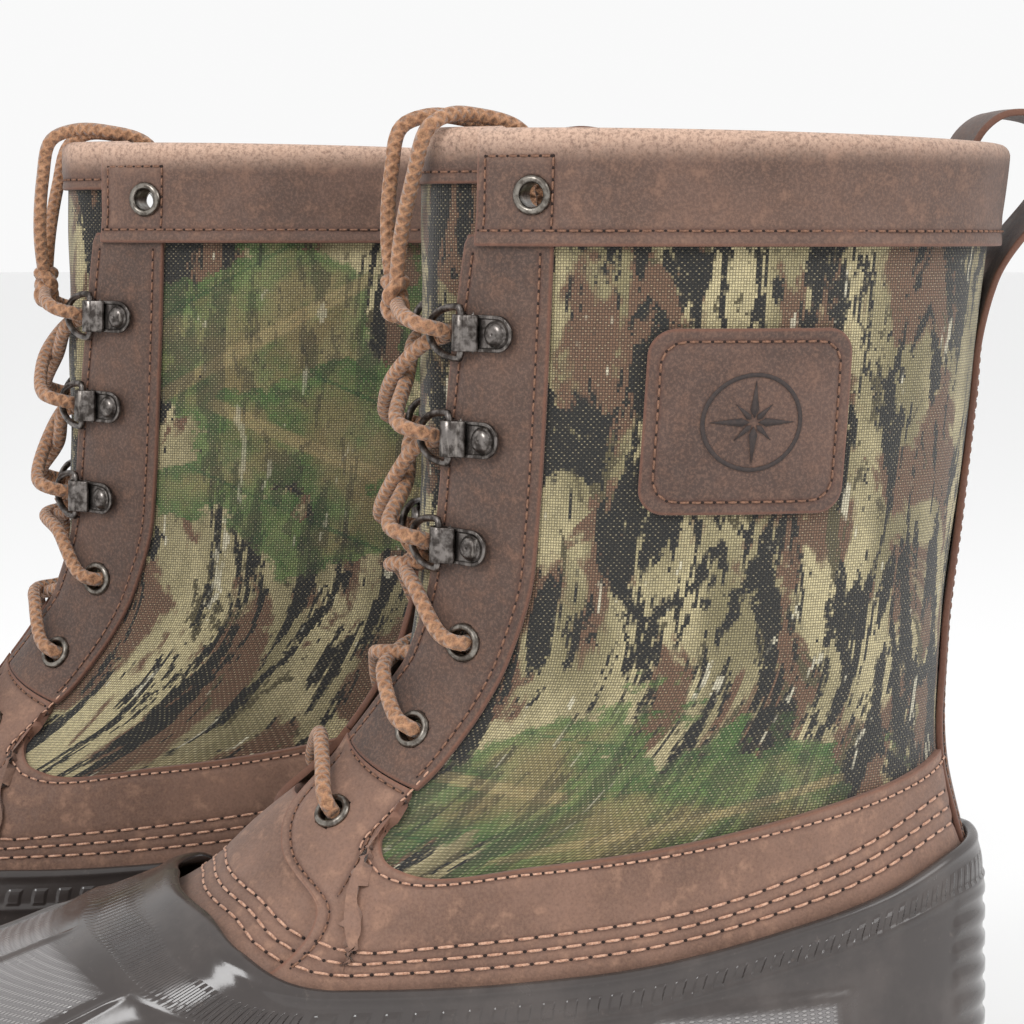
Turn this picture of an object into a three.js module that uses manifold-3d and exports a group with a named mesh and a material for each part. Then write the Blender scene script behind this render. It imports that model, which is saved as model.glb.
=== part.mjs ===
// A pair of insulated hunting boots: rubber bottoms, canvas shafts, leather trim and laced D-rings.
// Millimetres, +Z up, toes towards -Y, soles on Z = 0, origin under the middle of the pair.
import * as THREE from 'three';
import { mergeVertices } from 'three/addons/utils/BufferGeometryUtils.js';
import Module from 'manifold-3d';

const wasm = await Module();
wasm.setup();

// ---- driving dimensions ----
const bootLength = 308;
const shaftHeight = 279;
const shaftWidth = 101;
const shaftDepth = 156;
const footWidth = 104;
const pairSpacing = 139;
const pairLead = 94;
const toeSwing = 7;

const leather = 1.8;
const canvas = 1.2;
const gap = 0.3;
const lapGap = 1.6;
const collarHeight = 29;
const strapWidth = 24;
const rubberWall = 2.2;
const soleThickness = 10;
const insoleThickness = 4.5;
const shellFloor = 6;
const feltWall = 6;
const linerHeight = 235;
const tongueThickness = 2;
const tongueRise = 0.5;

const laceDiameter = 4;
const eyeletHole = 7.6;
const eyeletHeights = [106, 127, 150];
const ringHeights = [175, 202, 228.5];
const ringWire = 2.2;
const ringReach = 12.5;
const ringSetback = 4.5;
const ringSpan = 12.8;
const clipWidth = 9;
const patchWidth = 50;
const patchHeight = 46;
const patchCentre = { s: 0.512, z: 207 };

// ---- colours ----
const finish = {
  leather: { color: 0x6e4a38, roughness: 0.75, metalness: 0 },
  darkLeather: { color: 0x5f3d2e, roughness: 0.75, metalness: 0 },
  canvas: { color: 0x6f6a48, roughness: 0.95, metalness: 0 },
  rubber: { color: 0x3a3330, roughness: 0.35, metalness: 0 },
  sole: { color: 0x2b2827, roughness: 0.6, metalness: 0 },
  felt: { color: 0xb9b4a6, roughness: 1, metalness: 0 },
  steel: { color: 0x8b8d8f, roughness: 0.4, metalness: 1 },
  gunmetal: { color: 0x4b4a4b, roughness: 0.35, metalness: 1 },
  lace: { color: 0xa9774b, roughness: 0.9, metalness: 0 },
};

// ---- small helpers ----
const lerp = THREE.MathUtils.lerp;
const smooth = (t) => THREE.MathUtils.smoothstep(t, 0, 1);

// A smooth curve through [place, value] points that never overshoots them.
function profile(points) {
  const slopes = points.slice(1).map((p, i) => (p[1] - points[i][1]) / (p[0] - points[i][0]));
  const tangents = points.map((p, i) => {
    if (i === 0) return slopes[0];
    if (i === points.length - 1) return slopes[i - 1];
    const product = slopes[i - 1] * slopes[i];
    return product <= 0 ? 0 : (2 * product) / (slopes[i - 1] + slopes[i]);
  });
  return (place) => {
    const t = THREE.MathUtils.clamp(place, points[0][0], points[points.length - 1][0]);
    let i = 0;
    while (i < points.length - 2 && t > points[i + 1][0]) i += 1;
    const width = points[i + 1][0] - points[i][0];
    const u = (t - points[i][0]) / width;
    const start = (1 + 2 * u) * (1 - u) ** 2 * points[i][1] + u * (1 - u) ** 2 * width * tangents[i];
    return start + u * u * (3 - 2 * u) * points[i + 1][1] - u * u * (1 - u) * width * tangents[i + 1];
  };
}

// Faces of a closed surface, turned outwards.
function closedGeometry(points, faces) {
  let volume = 0;
  for (const [a, b, c] of faces) {
    volume += points[a].dot(new THREE.Vector3().crossVectors(points[b], points[c]));
  }
  const index = volume < 0 ? faces.flatMap(([a, b, c]) => [a, c, b]) : faces.flat();
  const geometry = new THREE.BufferGeometry();
  geometry.setAttribute('position', new THREE.Float32BufferAttribute(points.flatMap((p) => p.toArray()), 3));
  geometry.setIndex(index);
  return geometry;
}

// A sheet of material: place(u, v, side) gives its outer face at side 1 and its inner face at side 0.
function sheet(place, columns, rows) {
  const points = [];
  const faces = [];
  for (const side of [1, 0]) {
    for (let j = 0; j <= rows; j += 1) {
      for (let i = 0; i <= columns; i += 1) points.push(place(i / columns, j / rows, side));
    }
  }
  const half = (columns + 1) * (rows + 1);
  const at = (i, j, inner) => inner * half + j * (columns + 1) + i;
  const quad = (a, b, c, d) => faces.push([a, b, c], [a, c, d]);
  for (let j = 0; j < rows; j += 1) {
    for (let i = 0; i < columns; i += 1) {
      quad(at(i, j, 0), at(i + 1, j, 0), at(i + 1, j + 1, 0), at(i, j + 1, 0));
      quad(at(i, j, 1), at(i, j + 1, 1), at(i + 1, j + 1, 1), at(i + 1, j, 1));
    }
  }
  for (let i = 0; i < columns; i += 1) {
    quad(at(i, 0, 1), at(i + 1, 0, 1), at(i + 1, 0, 0), at(i, 0, 0));
    quad(at(i, rows, 0), at(i + 1, rows, 0), at(i + 1, rows, 1), at(i, rows, 1));
  }
  for (let j = 0; j < rows; j += 1) {
    quad(at(0, j, 0), at(0, j + 1, 0), at(0, j + 1, 1), at(0, j, 1));
    quad(at(columns, j, 1), at(columns, j + 1, 1), at(columns, j + 1, 0), at(columns, j, 0));
  }
  return closedGeometry(points, faces);
}

// Rings of points joined one to the next, with a flat fan over the first and the last.
function stackedRings(rings) {
  const count = rings[0].length;
  const points = rings.flat();
  const faces = [];
  for (let r = 0; r < rings.length - 1; r += 1) {
    for (let i = 0; i < count; i += 1) {
      const next = (i + 1) % count;
      const [a, b, c, d] = [r * count + i, r * count + next, (r + 1) * count + next, (r + 1) * count + i];
      faces.push([a, b, c], [a, c, d]);
    }
  }
  for (const [r, turn] of [[0, 1], [rings.length - 1, 0]]) {
    const middle = rings[r].reduce((sum, p) => sum.add(p), new THREE.Vector3()).divideScalar(count);
    points.push(middle);
    for (let i = 0; i < count; i += 1) {
      const pair = [r * count + i, r * count + ((i + 1) % count)];
      faces.push(turn ? [points.length - 1, pair[1], pair[0]] : [points.length - 1, pair[0], pair[1]]);
    }
  }
  return closedGeometry(points, faces);
}

function toSolid(geometry) {
  const plain = geometry.clone();
  plain.deleteAttribute('normal');
  plain.deleteAttribute('uv');
  const merged = mergeVertices(plain, 1e-4);
  const vertProperties = new Float32Array(merged.attributes.position.array);
  const triVerts = new Uint32Array(merged.index.array);
  return new wasm.Manifold(new wasm.Mesh({ numProp: 3, vertProperties, triVerts }));
}

function toGeometry(solid) {
  const mesh = solid.getMesh();
  const geometry = new THREE.BufferGeometry();
  geometry.setAttribute('position', new THREE.BufferAttribute(new Float32Array(mesh.vertProperties), 3));
  geometry.setIndex(new THREE.BufferAttribute(new Uint32Array(mesh.triVerts), 1));
  return geometry;
}

const cut = (body, tools) => {
  const start = toSolid(body);
  return toGeometry(tools.reduce((left, tool) => left.subtract(toSolid(tool)), start));
};
const join = ([first, ...others]) => {
  const start = toSolid(first);
  return toGeometry(others.reduce((sum, body) => sum.add(toSolid(body)), start));
};

function ellipse(halfWidth, halfHeight, sides) {
  const shape = new THREE.Shape();
  for (let i = 0; i < sides; i += 1) {
    const angle = (2 * Math.PI * i) / sides;
    const [x, y] = [halfWidth * Math.cos(angle), halfHeight * Math.sin(angle)];
    if (i === 0) shape.moveTo(x, y);
    else shape.lineTo(x, y);
  }
  shape.closePath();
  return shape;
}

function tube(points, diameter, sides, steps) {
  const path = new THREE.CatmullRomCurve3(points, false, 'centripetal');
  const section = ellipse(diameter / 2, diameter / 2, sides);
  return new THREE.ExtrudeGeometry(section, { extrudePath: path, steps, bevelEnabled: false });
}

// ---- the shape of one boot: x forward from the heel, y to its outer side ----
const toeFront = bootLength - 5;
const shaftBack = -3;
const front = profile([
  [0, toeFront - 8], [30, toeFront], [50, toeFront - 10], [66, toeFront - 48], [84, 212],
  [100, 194], [120, 171], [145, shaftBack + shaftDepth + 4], [170, shaftBack + shaftDepth + 1],
  [290, shaftBack + shaftDepth],
]);
const back = profile([[0, 6], [40, 4], [84, 4], [98, 8], [128, 12], [189, 7], [shaftHeight, shaftBack]]);
const halfWidth = profile([
  [0, footWidth / 2 - 5], [30, footWidth / 2], [60, footWidth / 2 - 1], [84, footWidth / 2 - 5],
  [105, footWidth / 2 - 8.5], [130, shaftWidth / 2 - 8], [200, shaftWidth / 2 - 3], [290, shaftWidth / 2],
]);
const widest = profile([[0, 195], [60, 185], [84, 150], [110, 105], [150, 80], [290, 72]]);
const heelSquareness = profile([[50, 2.5], [110, 2]]);

// A point of the boot's surface: s runs from the front ridge (0) to the heel (1), the outer side
// positive and the inner side negative, z is the height and depth stands out from the surface.
function skinPoint(s, z) {
  const angle = Math.PI * s;
  const power = 2 / heelSquareness(z);
  const along = Math.cos(angle);
  const reach = along > 0 ? front(z) - widest(z) : widest(z) - back(z);
  const x = widest(z) + reach * Math.sign(along) * Math.abs(along) ** power;
  const swing = toeSwing * smooth((x - 200) / (bootLength - 200));
  const y = halfWidth(z) * Math.sign(Math.sin(angle)) * Math.abs(Math.sin(angle)) ** power - swing;
  return new THREE.Vector3(x, y, z);
}

function skinNormal(s, z) {
  const step = 0.004;
  const across = skinPoint(s + step, z).sub(skinPoint(s - step, z));
  const upwards = skinPoint(s, z + 0.5).sub(skinPoint(s, z - 0.5));
  return across.cross(upwards).normalize();
}

const skin = (s, z, depth) => skinPoint(s, z).addScaledVector(skinNormal(s, z), depth);

// The share of s that a distance along the surface takes.
const spread = (s, z, distance) => distance * 0.01 / skinPoint(s + 0.01, z).distanceTo(skinPoint(s, z));

// ---- seam lines ----
const rubberLine = profile([
  [0, 84], [0.2, 81], [0.35, 75], [0.53, 68], [0.6, 69.5], [0.72, 79], [0.88, 91], [1, 93],
]);
const stayFront = profile([[110, 0.025], [131, 0.045], [146, 0.09], [170, 0.125], [211, 0.15], [279, 0.2]]);
const stayBack = profile([[113, 0.258], [135, 0.262], [170, 0.288], [279, 0.3]]);
const quarterTop = profile([
  [0.25, 113], [0.29, 101.5], [0.36, 95], [0.42, 93.3], [0.53, 97], [0.7, 107.5], [1, 121],
]);
const vampSeam = profile([[60, 0.43], [72, 0.417], [85, 0.34], [97, 0.17], [108, 0.07], [122, 0.03]]);
const collarBottom = shaftHeight - collarHeight;
const strapGap = 0.02;
const strapEdge = (z) => 1 - spread(1, z, strapWidth / 2);
const leatherBottom = (s) => rubberLine(Math.abs(s)) - lerp(3.5, 9, Math.min(1, Math.abs(s) / 0.4));

// ---- sole and rubber bottom ----
const columns = 28;
const ringOf = (place) => Array.from({ length: columns }, (unused, i) => place((2 * i) / columns - 1));

function outsole() {
  const outline = (z, depth) => ringOf((s) => skin(s, 12, depth).setZ(z));
  const slab = stackedRings([outline(0, 4), outline(2, 5.5), outline(soleThickness - gap, 5.5)]);
  const grooves = [];
  const grooveWidth = 3.5;
  const grooveDepth = 4;
  const arch = { start: 84, end: 118 };
  for (let x = 14; x < bootLength - 20; x += 15) {
    const groove = new THREE.BoxGeometry(grooveWidth, footWidth * 2, grooveDepth * 2);
    if (x < arch.start || x > arch.end) grooves.push(groove.translate(x, 0, 0));
  }
  const archMiddle = (arch.start + arch.end) / 2;
  grooves.push(new THREE.BoxGeometry(arch.end - arch.start, footWidth * 2, 5).translate(archMiddle, 0, 0));
  const pocket = new THREE.BoxGeometry(shank.length + 2 * gap, shank.width + 2 * gap, 2 * (shank.thickness + gap));
  return cut(slab, [...grooves, pocket.translate(shank.x, 0, soleThickness - gap)]);
}

const shank = { length: 110, width: 16, thickness: 1.6, x: 110 };

function steelShank() {
  const bar = new THREE.BoxGeometry(shank.length, shank.width, shank.thickness);
  return bar.translate(shank.x, 0, soleThickness - gap - shank.thickness / 2);
}

const shellClearance = 1.4;
const shellOut = leather + shellClearance + rubberWall;

function rubberShell() {
  const wall = profile([[0, 4.6], [0.15, shellOut], [0.8, shellOut - 0.2], [0.9, shellOut - 0.4], [1, shellOut]]);
  const outer = (v) => ringOf((s) => skin(s, lerp(soleThickness, rubberLine(Math.abs(s)), v), wall(v)));
  const floor = soleThickness + shellFloor;
  const inner = (v) => ringOf((s) => skin(s, lerp(floor, rubberLine(Math.abs(s)), v), shellOut - rubberWall));
  const flat = (z, depth) => ringOf((s) => skin(s, z, depth).setZ(z));
  return stackedRings([
    flat(soleThickness, 4.6), outer(0.15), outer(0.4), outer(0.65), outer(0.88), outer(1),
    inner(1), inner(0.88), inner(0.65), inner(0.35), flat(floor, shellOut - rubberWall),
  ]);
}

const insoleBase = soleThickness + shellFloor + gap;
const linerBase = insoleBase + insoleThickness + gap;

function insole() {
  const outline = (z) => ringOf((s) => skin(s, insoleBase + 4, -1).setZ(z));
  return stackedRings([outline(insoleBase), outline(insoleBase + insoleThickness)]);
}

function feltLiner() {
  const outside = -lapGap - leather - 2;
  const level = (z, depth) => ringOf((s) => skin(s, z, depth));
  const flat = (z, depth) => ringOf((s) => skin(s, z, depth).setZ(z));
  const heights = [linerBase + 8, 45, 60, 72, 82, 94, 110, 135, linerHeight];
  const outer = heights.map((z) => level(z, outside));
  const inner = heights.slice(1).map((z) => level(z, outside - feltWall)).reverse();
  const bootie = stackedRings([
    flat(linerBase, outside - 3), ...outer, ...inner, flat(linerBase + feltWall + 1, outside - feltWall - 3),
  ]);
  const slot = new THREE.BoxGeometry(200, 2 * slotHalfWidth, 300);
  return cut(bootie, [slot.translate(105 + 100, 0, 86 + 150)]);
}

const slotHalfWidth = shaftWidth * 0.34;

// ---- leather and canvas panels ----
// Rows enough to follow the boot's profile over a height.
const rowsOver = (height, pitch) => Math.max(3, Math.round(height / pitch));

function vamp() {
  return sheet((u, v, side) => {
    const lean = 2 * u - 1;
    const low = leatherBottom(lean * vampSeam(75));
    const z = lerp(low, 108, v);
    return skin(lean * (vampSeam(z) + 0.03), z, -lapGap - (side ? 0 : leather));
  }, 12, 4);
}

function quarterPlace(u, v, depth) {
  const facing = 0.2;
  const behind = (u - facing) / (1 - facing);
  const topS = u < facing ? lerp(0.03, 0.25, u / facing) : lerp(0.25, strapEdge(100) - strapGap, behind);
  const topZ = u < facing ? lerp(122.5, 113, u / facing) - gap : quarterTop(topS) - gap;
  const lowS = lerp(vampSeam(66), strapEdge(80) - strapGap, u);
  const lowZ = leatherBottom(lowS);
  const frontZ = lerp(leatherBottom(vampSeam(66)), 122.5, v);
  const bow = (vampSeam(frontZ) - lerp(vampSeam(66), 0.03, v)) * (1 - u) ** 4;
  return skin(lerp(lowS, topS, v) + bow, lerp(lowZ, topZ, v), depth);
}

const eyelets = [
  { s: 0.18, z: eyeletHeights[0] },
  { s: 0.18, z: eyeletHeights[1] },
  { s: 0.2, z: eyeletHeights[2] },
];
const collarEyelet = { s: 0.273, z: shaftHeight - 16.5 };

function holeTool({ s, z }) {
  const drill = new THREE.CylinderGeometry(eyeletHole / 2, eyeletHole / 2, 16, 8);
  const turn = new THREE.Quaternion().setFromUnitVectors(new THREE.Vector3(0, 1, 0), skinNormal(s, z));
  return drill.applyQuaternion(turn).translate(...skin(s, z, 0).toArray());
}

function quarter() {
  const band = sheet((u, v, side) => quarterPlace(u, v, side * leather), 18, 3);
  return cut(band, [holeTool(eyelets[0])]);
}

function eyestay() {
  const strip = sheet((u, v, side) => {
    const z = lerp(lerp(122.5, 113, u), collarBottom - gap, v ** 1.4);
    return skin(lerp(stayFront(z), stayBack(z), u), z, side * leather);
  }, 3, rowsOver(collarBottom - 113, 13.6));
  return cut(strip, eyelets.slice(1).map(holeTool));
}

function canvasPanel() {
  const top = collarBottom - gap;
  return sheet((u, v, side) => {
    const rough = lerp(104, top, v ** 1.4);
    const s = lerp(stayBack(rough) - 0.03, 0.985, u);
    return skin(s, lerp(quarterTop(s) - 7, top, v ** 1.4), -lapGap - (side ? 0 : canvas));
  }, 8, rowsOver(collarBottom - quarterTop(0.53), 28));
}

// A strip folded over an edge: v runs up the outside, round the edge and down the inside.
function fold(v, side, middle, edgeZ, lowZ, wall) {
  const radius = canvas / 2 + gap + wall * side;
  if (v < 0.4) return { z: lerp(lowZ, edgeZ, v / 0.4), depth: middle + radius };
  if (v > 0.6) return { z: lerp(edgeZ, lowZ, (v - 0.6) / 0.4), depth: middle - radius };
  const angle = (Math.PI * (v - 0.4)) / 0.2;
  return { z: edgeZ + radius * Math.sin(angle), depth: middle + radius * Math.cos(angle) };
}

function collar() {
  const start = stayFront(shaftHeight);
  const radius = canvas / 2 + gap + leather;
  const band = sheet((u, v, side) => {
    const s = lerp(start, 2 - start, u);
    const { z, depth } = fold(v, side, -gap - canvas / 2, shaftHeight - radius, collarBottom, leather);
    return skin(s > 1 ? s - 2 : s, z, depth);
  }, 22, 6);
  return cut(band, [holeTool(collarEyelet), holeTool({ s: -collarEyelet.s, z: collarEyelet.z })]);
}

// ---- heel strap with its pull loop ----
const loopReach = 23.3;

function backstay() {
  const leave = collarBottom - 9;
  const low = leatherBottom(1);
  const climb = [0, 0.2, 0.4, 0.6, 0.8, 1].map((t) => skin(1, lerp(low, leave, t), 0));
  const crest = skinPoint(1, shaftHeight);
  const loop = [[-11, -17], [-18, -9], [-15, 0.5], [-6, 4], [2, 3.4], [8.2, -3], [8.6, -14]];
  const path = new THREE.CatmullRomCurve3(
    [...climb, ...loop.map(([x, z]) => new THREE.Vector3(crest.x + x, 0, crest.z + z))], false, 'centripetal',
  );
  return sheet((u, v, side) => {
    const point = path.getPointAt(v);
    const tangent = path.getTangentAt(v);
    const reach = (u - 0.5) * strapWidth;
    const curved = skinPoint(1 - spread(1, Math.min(point.z, leave), Math.abs(reach)), Math.min(point.z, leave));
    const onShaft = v < 0.8 ? 1 - smooth((point.z - leave + 22) / 22) : 0;
    const sag = (curved.x - skinPoint(1, Math.min(point.z, leave)).x) * onShaft;
    const outward = new THREE.Vector3(-tangent.z, 0, tangent.x);
    return point.clone().add(new THREE.Vector3(sag, reach, 0)).addScaledVector(outward, side * leather);
  }, 2, 28);
}

// ---- tongue ----
const tongueTop = shaftHeight + tongueRise;
const tongueBottom = 104;
const tongueSunk = -(gap + leather + laceDiameter + 2.5);
const tongueRidge = 0.5 - laceDiameter;
const tongueHalf = 0.2;

function tongueDepth(s, z) {
  const ridge = lerp(tongueSunk, tongueRidge, smooth((z - 115) / 30));
  return lerp(ridge, tongueSunk, smooth((Math.abs(s) / stayFront(z) - 0.35) / 0.6));
}

function tongue() {
  return sheet((u, v, side) => {
    const s = lerp(-tongueHalf, tongueHalf, u);
    const z = lerp(tongueBottom, tongueTop - 3, v ** 1.5);
    return skin(s, z, tongueDepth(s, z) - (side ? 0 : tongueThickness));
  }, 10, rowsOver(tongueTop - tongueBottom, 19));
}

function tongueBinding() {
  return sheet((u, v, side) => {
    const s = lerp(-tongueHalf, tongueHalf, u);
    const middle = tongueDepth(s, tongueTop - 3) - tongueThickness / 2;
    const thicker = (tongueThickness - canvas) / 2 + 3 * gap + 0.1;
    const { z, depth } = fold(v, side, 0, tongueTop - 2, tongueTop - 14, 1.2);
    return skin(s, z, middle + depth + thicker * Math.sign(depth));
  }, 10, 6);
}

// ---- patch ----
function patch() {
  return sheet((u, v, side) => {
    const z = patchCentre.z + (v - 0.5) * patchHeight;
    const s = patchCentre.s + spread(patchCentre.s, z, (u - 0.5) * patchWidth);
    return skin(s, z, side ? leather : 0);
  }, 4, 3);
}

// ---- D-rings: clip frame has x up, y forwards, z out, and its origin on the ring's hinge line ----
const hingeOut = leather + gap + ringWire / 2 + 1.2;

function clipMatrix(z) {
  const s = stayFront(z) + spread(0.18, z, ringSetback);
  const origin = skin(s, z, hingeOut);
  const normal = skinNormal(s, z);
  const up = skinPoint(s, z + 1).sub(skinPoint(s, z - 1)).normalize();
  const forwards = new THREE.Vector3().crossVectors(normal, up);
  return new THREE.Matrix4().makeBasis(up, forwards, normal).setPosition(origin);
}

function clip() {
  const barrel = new THREE.CylinderGeometry(ringWire / 2 + 1.15, ringWire / 2 + 1.15, clipWidth, 8);
  const plateLength = 14.5;
  const rivetBack = 9.5;
  const plate = new THREE.BoxGeometry(clipWidth, plateLength, 1.1);
  const plateZ = leather + gap - hingeOut + 0.55;
  const dome = new THREE.CylinderGeometry(1.6, 3.4, 1.8, 8).rotateX(Math.PI / 2);
  const body = join([
    barrel.rotateZ(Math.PI / 2),
    plate.translate(0, -plateLength / 2, plateZ),
    dome.translate(0, -rivetBack, plateZ + 1.2),
  ]);
  const bore = new THREE.CylinderGeometry(ringWire / 2 + gap + 0.1, ringWire / 2 + gap + 0.1, clipWidth + 2, 8);
  return cut(body, [bore.rotateZ(Math.PI / 2)]);
}

const ringTilt = THREE.MathUtils.degToRad(14);
const ringPlay = 2;

function ring() {
  const bow = [];
  const steps = 12;
  for (let i = 0; i <= steps; i += 1) {
    const angle = (Math.PI * i) / steps;
    bow.push(new THREE.Vector3((ringSpan / 2) * Math.cos(angle), ringReach * Math.sin(angle) ** 0.8, 0));
  }
  const bar = new THREE.CylinderGeometry(ringWire / 2, ringWire / 2, ringSpan + ringWire, 6).rotateZ(Math.PI / 2);
  return join([tube(bow, ringWire, 6, 9), bar]).rotateX(-ringTilt);
}

// ---- lace: two halves from the lowest bar, crossing over the tongue up to the knot ----
const laceOver = leather + laceDiameter / 2 + 0.8;
const laceUnder = -(laceDiameter / 2 + 1.3);

function throughEyelet(side, { s, z }) {
  return [
    skin(side * (s - 0.03), z - 2, laceUnder),
    skin(side * s, z, laceUnder + 1.6),
    skin(side * s, z, laceOver - 1),
    skin(side * (s - 0.025), z + 1.5, laceOver + 0.2),
  ];
}

function throughRing(side, z) {
  const around = laceDiameter / 2 + ringWire / 2 + ringPlay;
  const barY = ringReach * Math.cos(ringTilt);
  const barZ = -ringReach * Math.sin(ringTilt);
  const matrix = clipMatrix(z);
  const local = [
    [-3.2, barY + 4, barZ - around + 0.6], [-1.6, barY - 1, barZ - around], [0, barY - around, barZ + 0.3],
    [1.6, barY - 1, barZ + around], [3.2, barY + 4, barZ + around - 0.8],
  ];
  return local.map(([x, y, out]) => {
    const point = new THREE.Vector3(x, y, out).applyMatrix4(matrix);
    return point.setY(side * point.y);
  });
}

// From the outer face of one eyestay over the ridge at z to the underside of the other one.
function crossing(side, z, upper) {
  const ridge = tongueDepth(0, z) + laceDiameter / 2 + 1.9;
  const edge = stayFront(z);
  const dive = tongueDepth(0.6 * edge, z) + laceDiameter / 2 + 1.8;
  return [
    skin(side * edge * 0.9, z - 4, laceOver + (z > 160 ? 0 : 0.8)),
    skin(0, z, upper ? ridge + laceDiameter - 0.4 : ridge),
    skin(-side * edge * 0.6, z + 2, dive),
  ];
}

function laceHalf(side) {
  const knot = knotPlace();
  const bar = [skin(-side * 0.012, 118, 4.6 + leather), skin(side * 0.09, 114, laceOver + 1.4)];
  const enter = [
    skin(side * (eyelets[0].s - 0.012), eyelets[0].z + 1, laceOver + 0.6),
    skin(side * eyelets[0].s, eyelets[0].z, leather / 2 + 0.4),
    skin(side * (eyelets[0].s - 0.01), eyelets[0].z + 1, laceUnder - 0.4),
    skin(side * 0.08, 114, laceUnder - 1.3),
    skin(0, 118.5, laceUnder - 1 - 0.5 * side),
    skin(-side * 0.09, 122.5, laceUnder - 0.8),
  ];
  const climb = [
    ...throughEyelet(-side, eyelets[1]), ...crossing(-side, 143, side > 0),
    ...throughEyelet(side, eyelets[2]), ...crossing(side, 167, side < 0),
    ...throughRing(-side, ringHeights[0]), ...crossing(-side, 189, side > 0).slice(1, 2),
    ...throughRing(side, ringHeights[1]), ...crossing(side, 216, side < 0).slice(1, 2),
    ...throughRing(-side, ringHeights[2]), knot,
  ];
  return [...bar, ...enter, ...climb];
}

const knotPlace = () => skin(0, 237, 3.6);

// The two free ends: up from the knot, over the top of the tongue and down inside the shaft.
function laceEnd(side) {
  const over = tongueTop + laceDiameter / 2 + 1.2;
  const middle = skinPoint(0, shaftHeight).x;
  const climb = side > 0
    ? [
      knotPlace(), skin(0.03, 252, 3), skin(0.075, 267, 2.6), skin(0.105, over - 3.5, 1.6),
      skin(0.11, over, -4),
    ]
    : [
      knotPlace(), skin(-0.03, 252, 5.5), skin(-0.035, 269, 4.6), skin(-0.045, over - 2.5, 2.4),
      skin(-0.055, over + 0.6, -4),
    ];
  const inside = [[-15, over + 0.2], [-27, over - 3.5], [-32, over - 14], [-35, over - 50], [-37, over - 100]];
  return [...climb, ...inside.map(([x, z]) => new THREE.Vector3(middle + x, side * 12, z))];
}

function lace() {
  const halves = [1, -1].map((side) => tube(laceHalf(side), laceDiameter, 6, 56));
  const ends = [1, -1].map((side) => tube(laceEnd(side), laceDiameter, 6, 16));
  const knot = new THREE.SphereGeometry(5.6, 10, 8).scale(0.9, 1, 1.15);
  return join([...halves, knot.translate(...knotPlace().toArray()), ...ends]);
}

// ---- assembly ----
const nodes = (geometry, name, look) => {
  const mesh = new THREE.Mesh(geometry, new THREE.MeshStandardMaterial(finish[look]));
  mesh.name = name;
  return mesh;
};

function sidePieces(name) {
  const half = new THREE.Group();
  half.add(nodes(quarter(), `${name}_quarter`, 'leather'));
  half.add(nodes(canvasPanel(), `${name}_canvas`, 'canvas'));
  half.add(nodes(eyestay(), `${name}_eyestay`, 'leather'));
  ringHeights.forEach((z, i) => {
    const hardware = new THREE.Group();
    hardware.applyMatrix4(clipMatrix(z));
    hardware.add(nodes(clip(), `${name}_clip_${i + 1}`, 'gunmetal'));
    hardware.add(nodes(ring(), `${name}_ring_${i + 1}`, 'gunmetal'));
    half.add(hardware);
  });
  return half;
}

function boot(name) {
  const whole = new THREE.Group();
  whole.add(nodes(outsole(), `${name}_outsole`, 'sole'));
  whole.add(nodes(steelShank(), `${name}_steel_shank`, 'steel'));
  whole.add(nodes(rubberShell(), `${name}_rubber_shell`, 'rubber'));
  whole.add(nodes(insole(), `${name}_insole`, 'felt'));
  whole.add(nodes(feltLiner(), `${name}_felt_liner`, 'felt'));
  whole.add(nodes(vamp(), `${name}_vamp`, 'leather'));
  whole.add(nodes(collar(), `${name}_collar`, 'leather'));
  whole.add(nodes(backstay(), `${name}_backstay`, 'darkLeather'));
  whole.add(nodes(tongue(), `${name}_tongue`, 'canvas'));
  whole.add(nodes(tongueBinding(), `${name}_tongue_binding`, 'darkLeather'));
  whole.add(nodes(patch(), `${name}_patch`, 'darkLeather'));
  whole.add(nodes(lace(), `${name}_lace`, 'lace'));
  const medial = sidePieces(`${name}_medial`);
  medial.scale.y = -1;
  whole.add(sidePieces(`${name}_lateral`), medial);
  whole.rotation.z = -Math.PI / 2;
  return whole;
}

const middle = (bootLength + pairLead - loopReach) / 2;
const group = new THREE.Group();
const left = boot('left');
left.position.set(pairSpacing / 2, middle, 0);
const right = boot('right');
right.scale.y = -1;
right.position.set(-pairSpacing / 2, middle - pairLead, 0);
group.add(left, right);

export default group;
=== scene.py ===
# %% [markdown]
# # Insulated hunting boots
# A pair of pac boots: a moulded rubber bottom, a camouflage canvas shaft, oiled leather trim, eyelets
# and D-rings with one braided lace a boot, and a felt liner inside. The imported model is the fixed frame.
# Every new piece is laid on the boot's own surface, so nothing has to be fitted by eye.

# %% Load the fixed frame
import math

import bmesh
import bpy
import numpy as np
from mathutils import Matrix, Vector
from mathutils.kdtree import KDTree

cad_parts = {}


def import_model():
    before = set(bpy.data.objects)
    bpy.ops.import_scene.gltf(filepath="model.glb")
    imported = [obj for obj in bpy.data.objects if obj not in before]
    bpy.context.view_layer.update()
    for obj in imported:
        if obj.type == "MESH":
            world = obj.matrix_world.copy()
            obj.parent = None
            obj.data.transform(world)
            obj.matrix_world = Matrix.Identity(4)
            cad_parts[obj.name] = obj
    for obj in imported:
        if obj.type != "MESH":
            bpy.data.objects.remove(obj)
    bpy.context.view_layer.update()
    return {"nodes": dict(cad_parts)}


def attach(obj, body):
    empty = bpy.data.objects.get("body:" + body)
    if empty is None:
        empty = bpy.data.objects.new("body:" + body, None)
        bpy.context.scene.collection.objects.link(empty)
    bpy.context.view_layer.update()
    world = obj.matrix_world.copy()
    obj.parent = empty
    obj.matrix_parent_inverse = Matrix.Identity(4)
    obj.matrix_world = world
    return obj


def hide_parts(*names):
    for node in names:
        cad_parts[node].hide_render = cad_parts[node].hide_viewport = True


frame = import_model()

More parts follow.
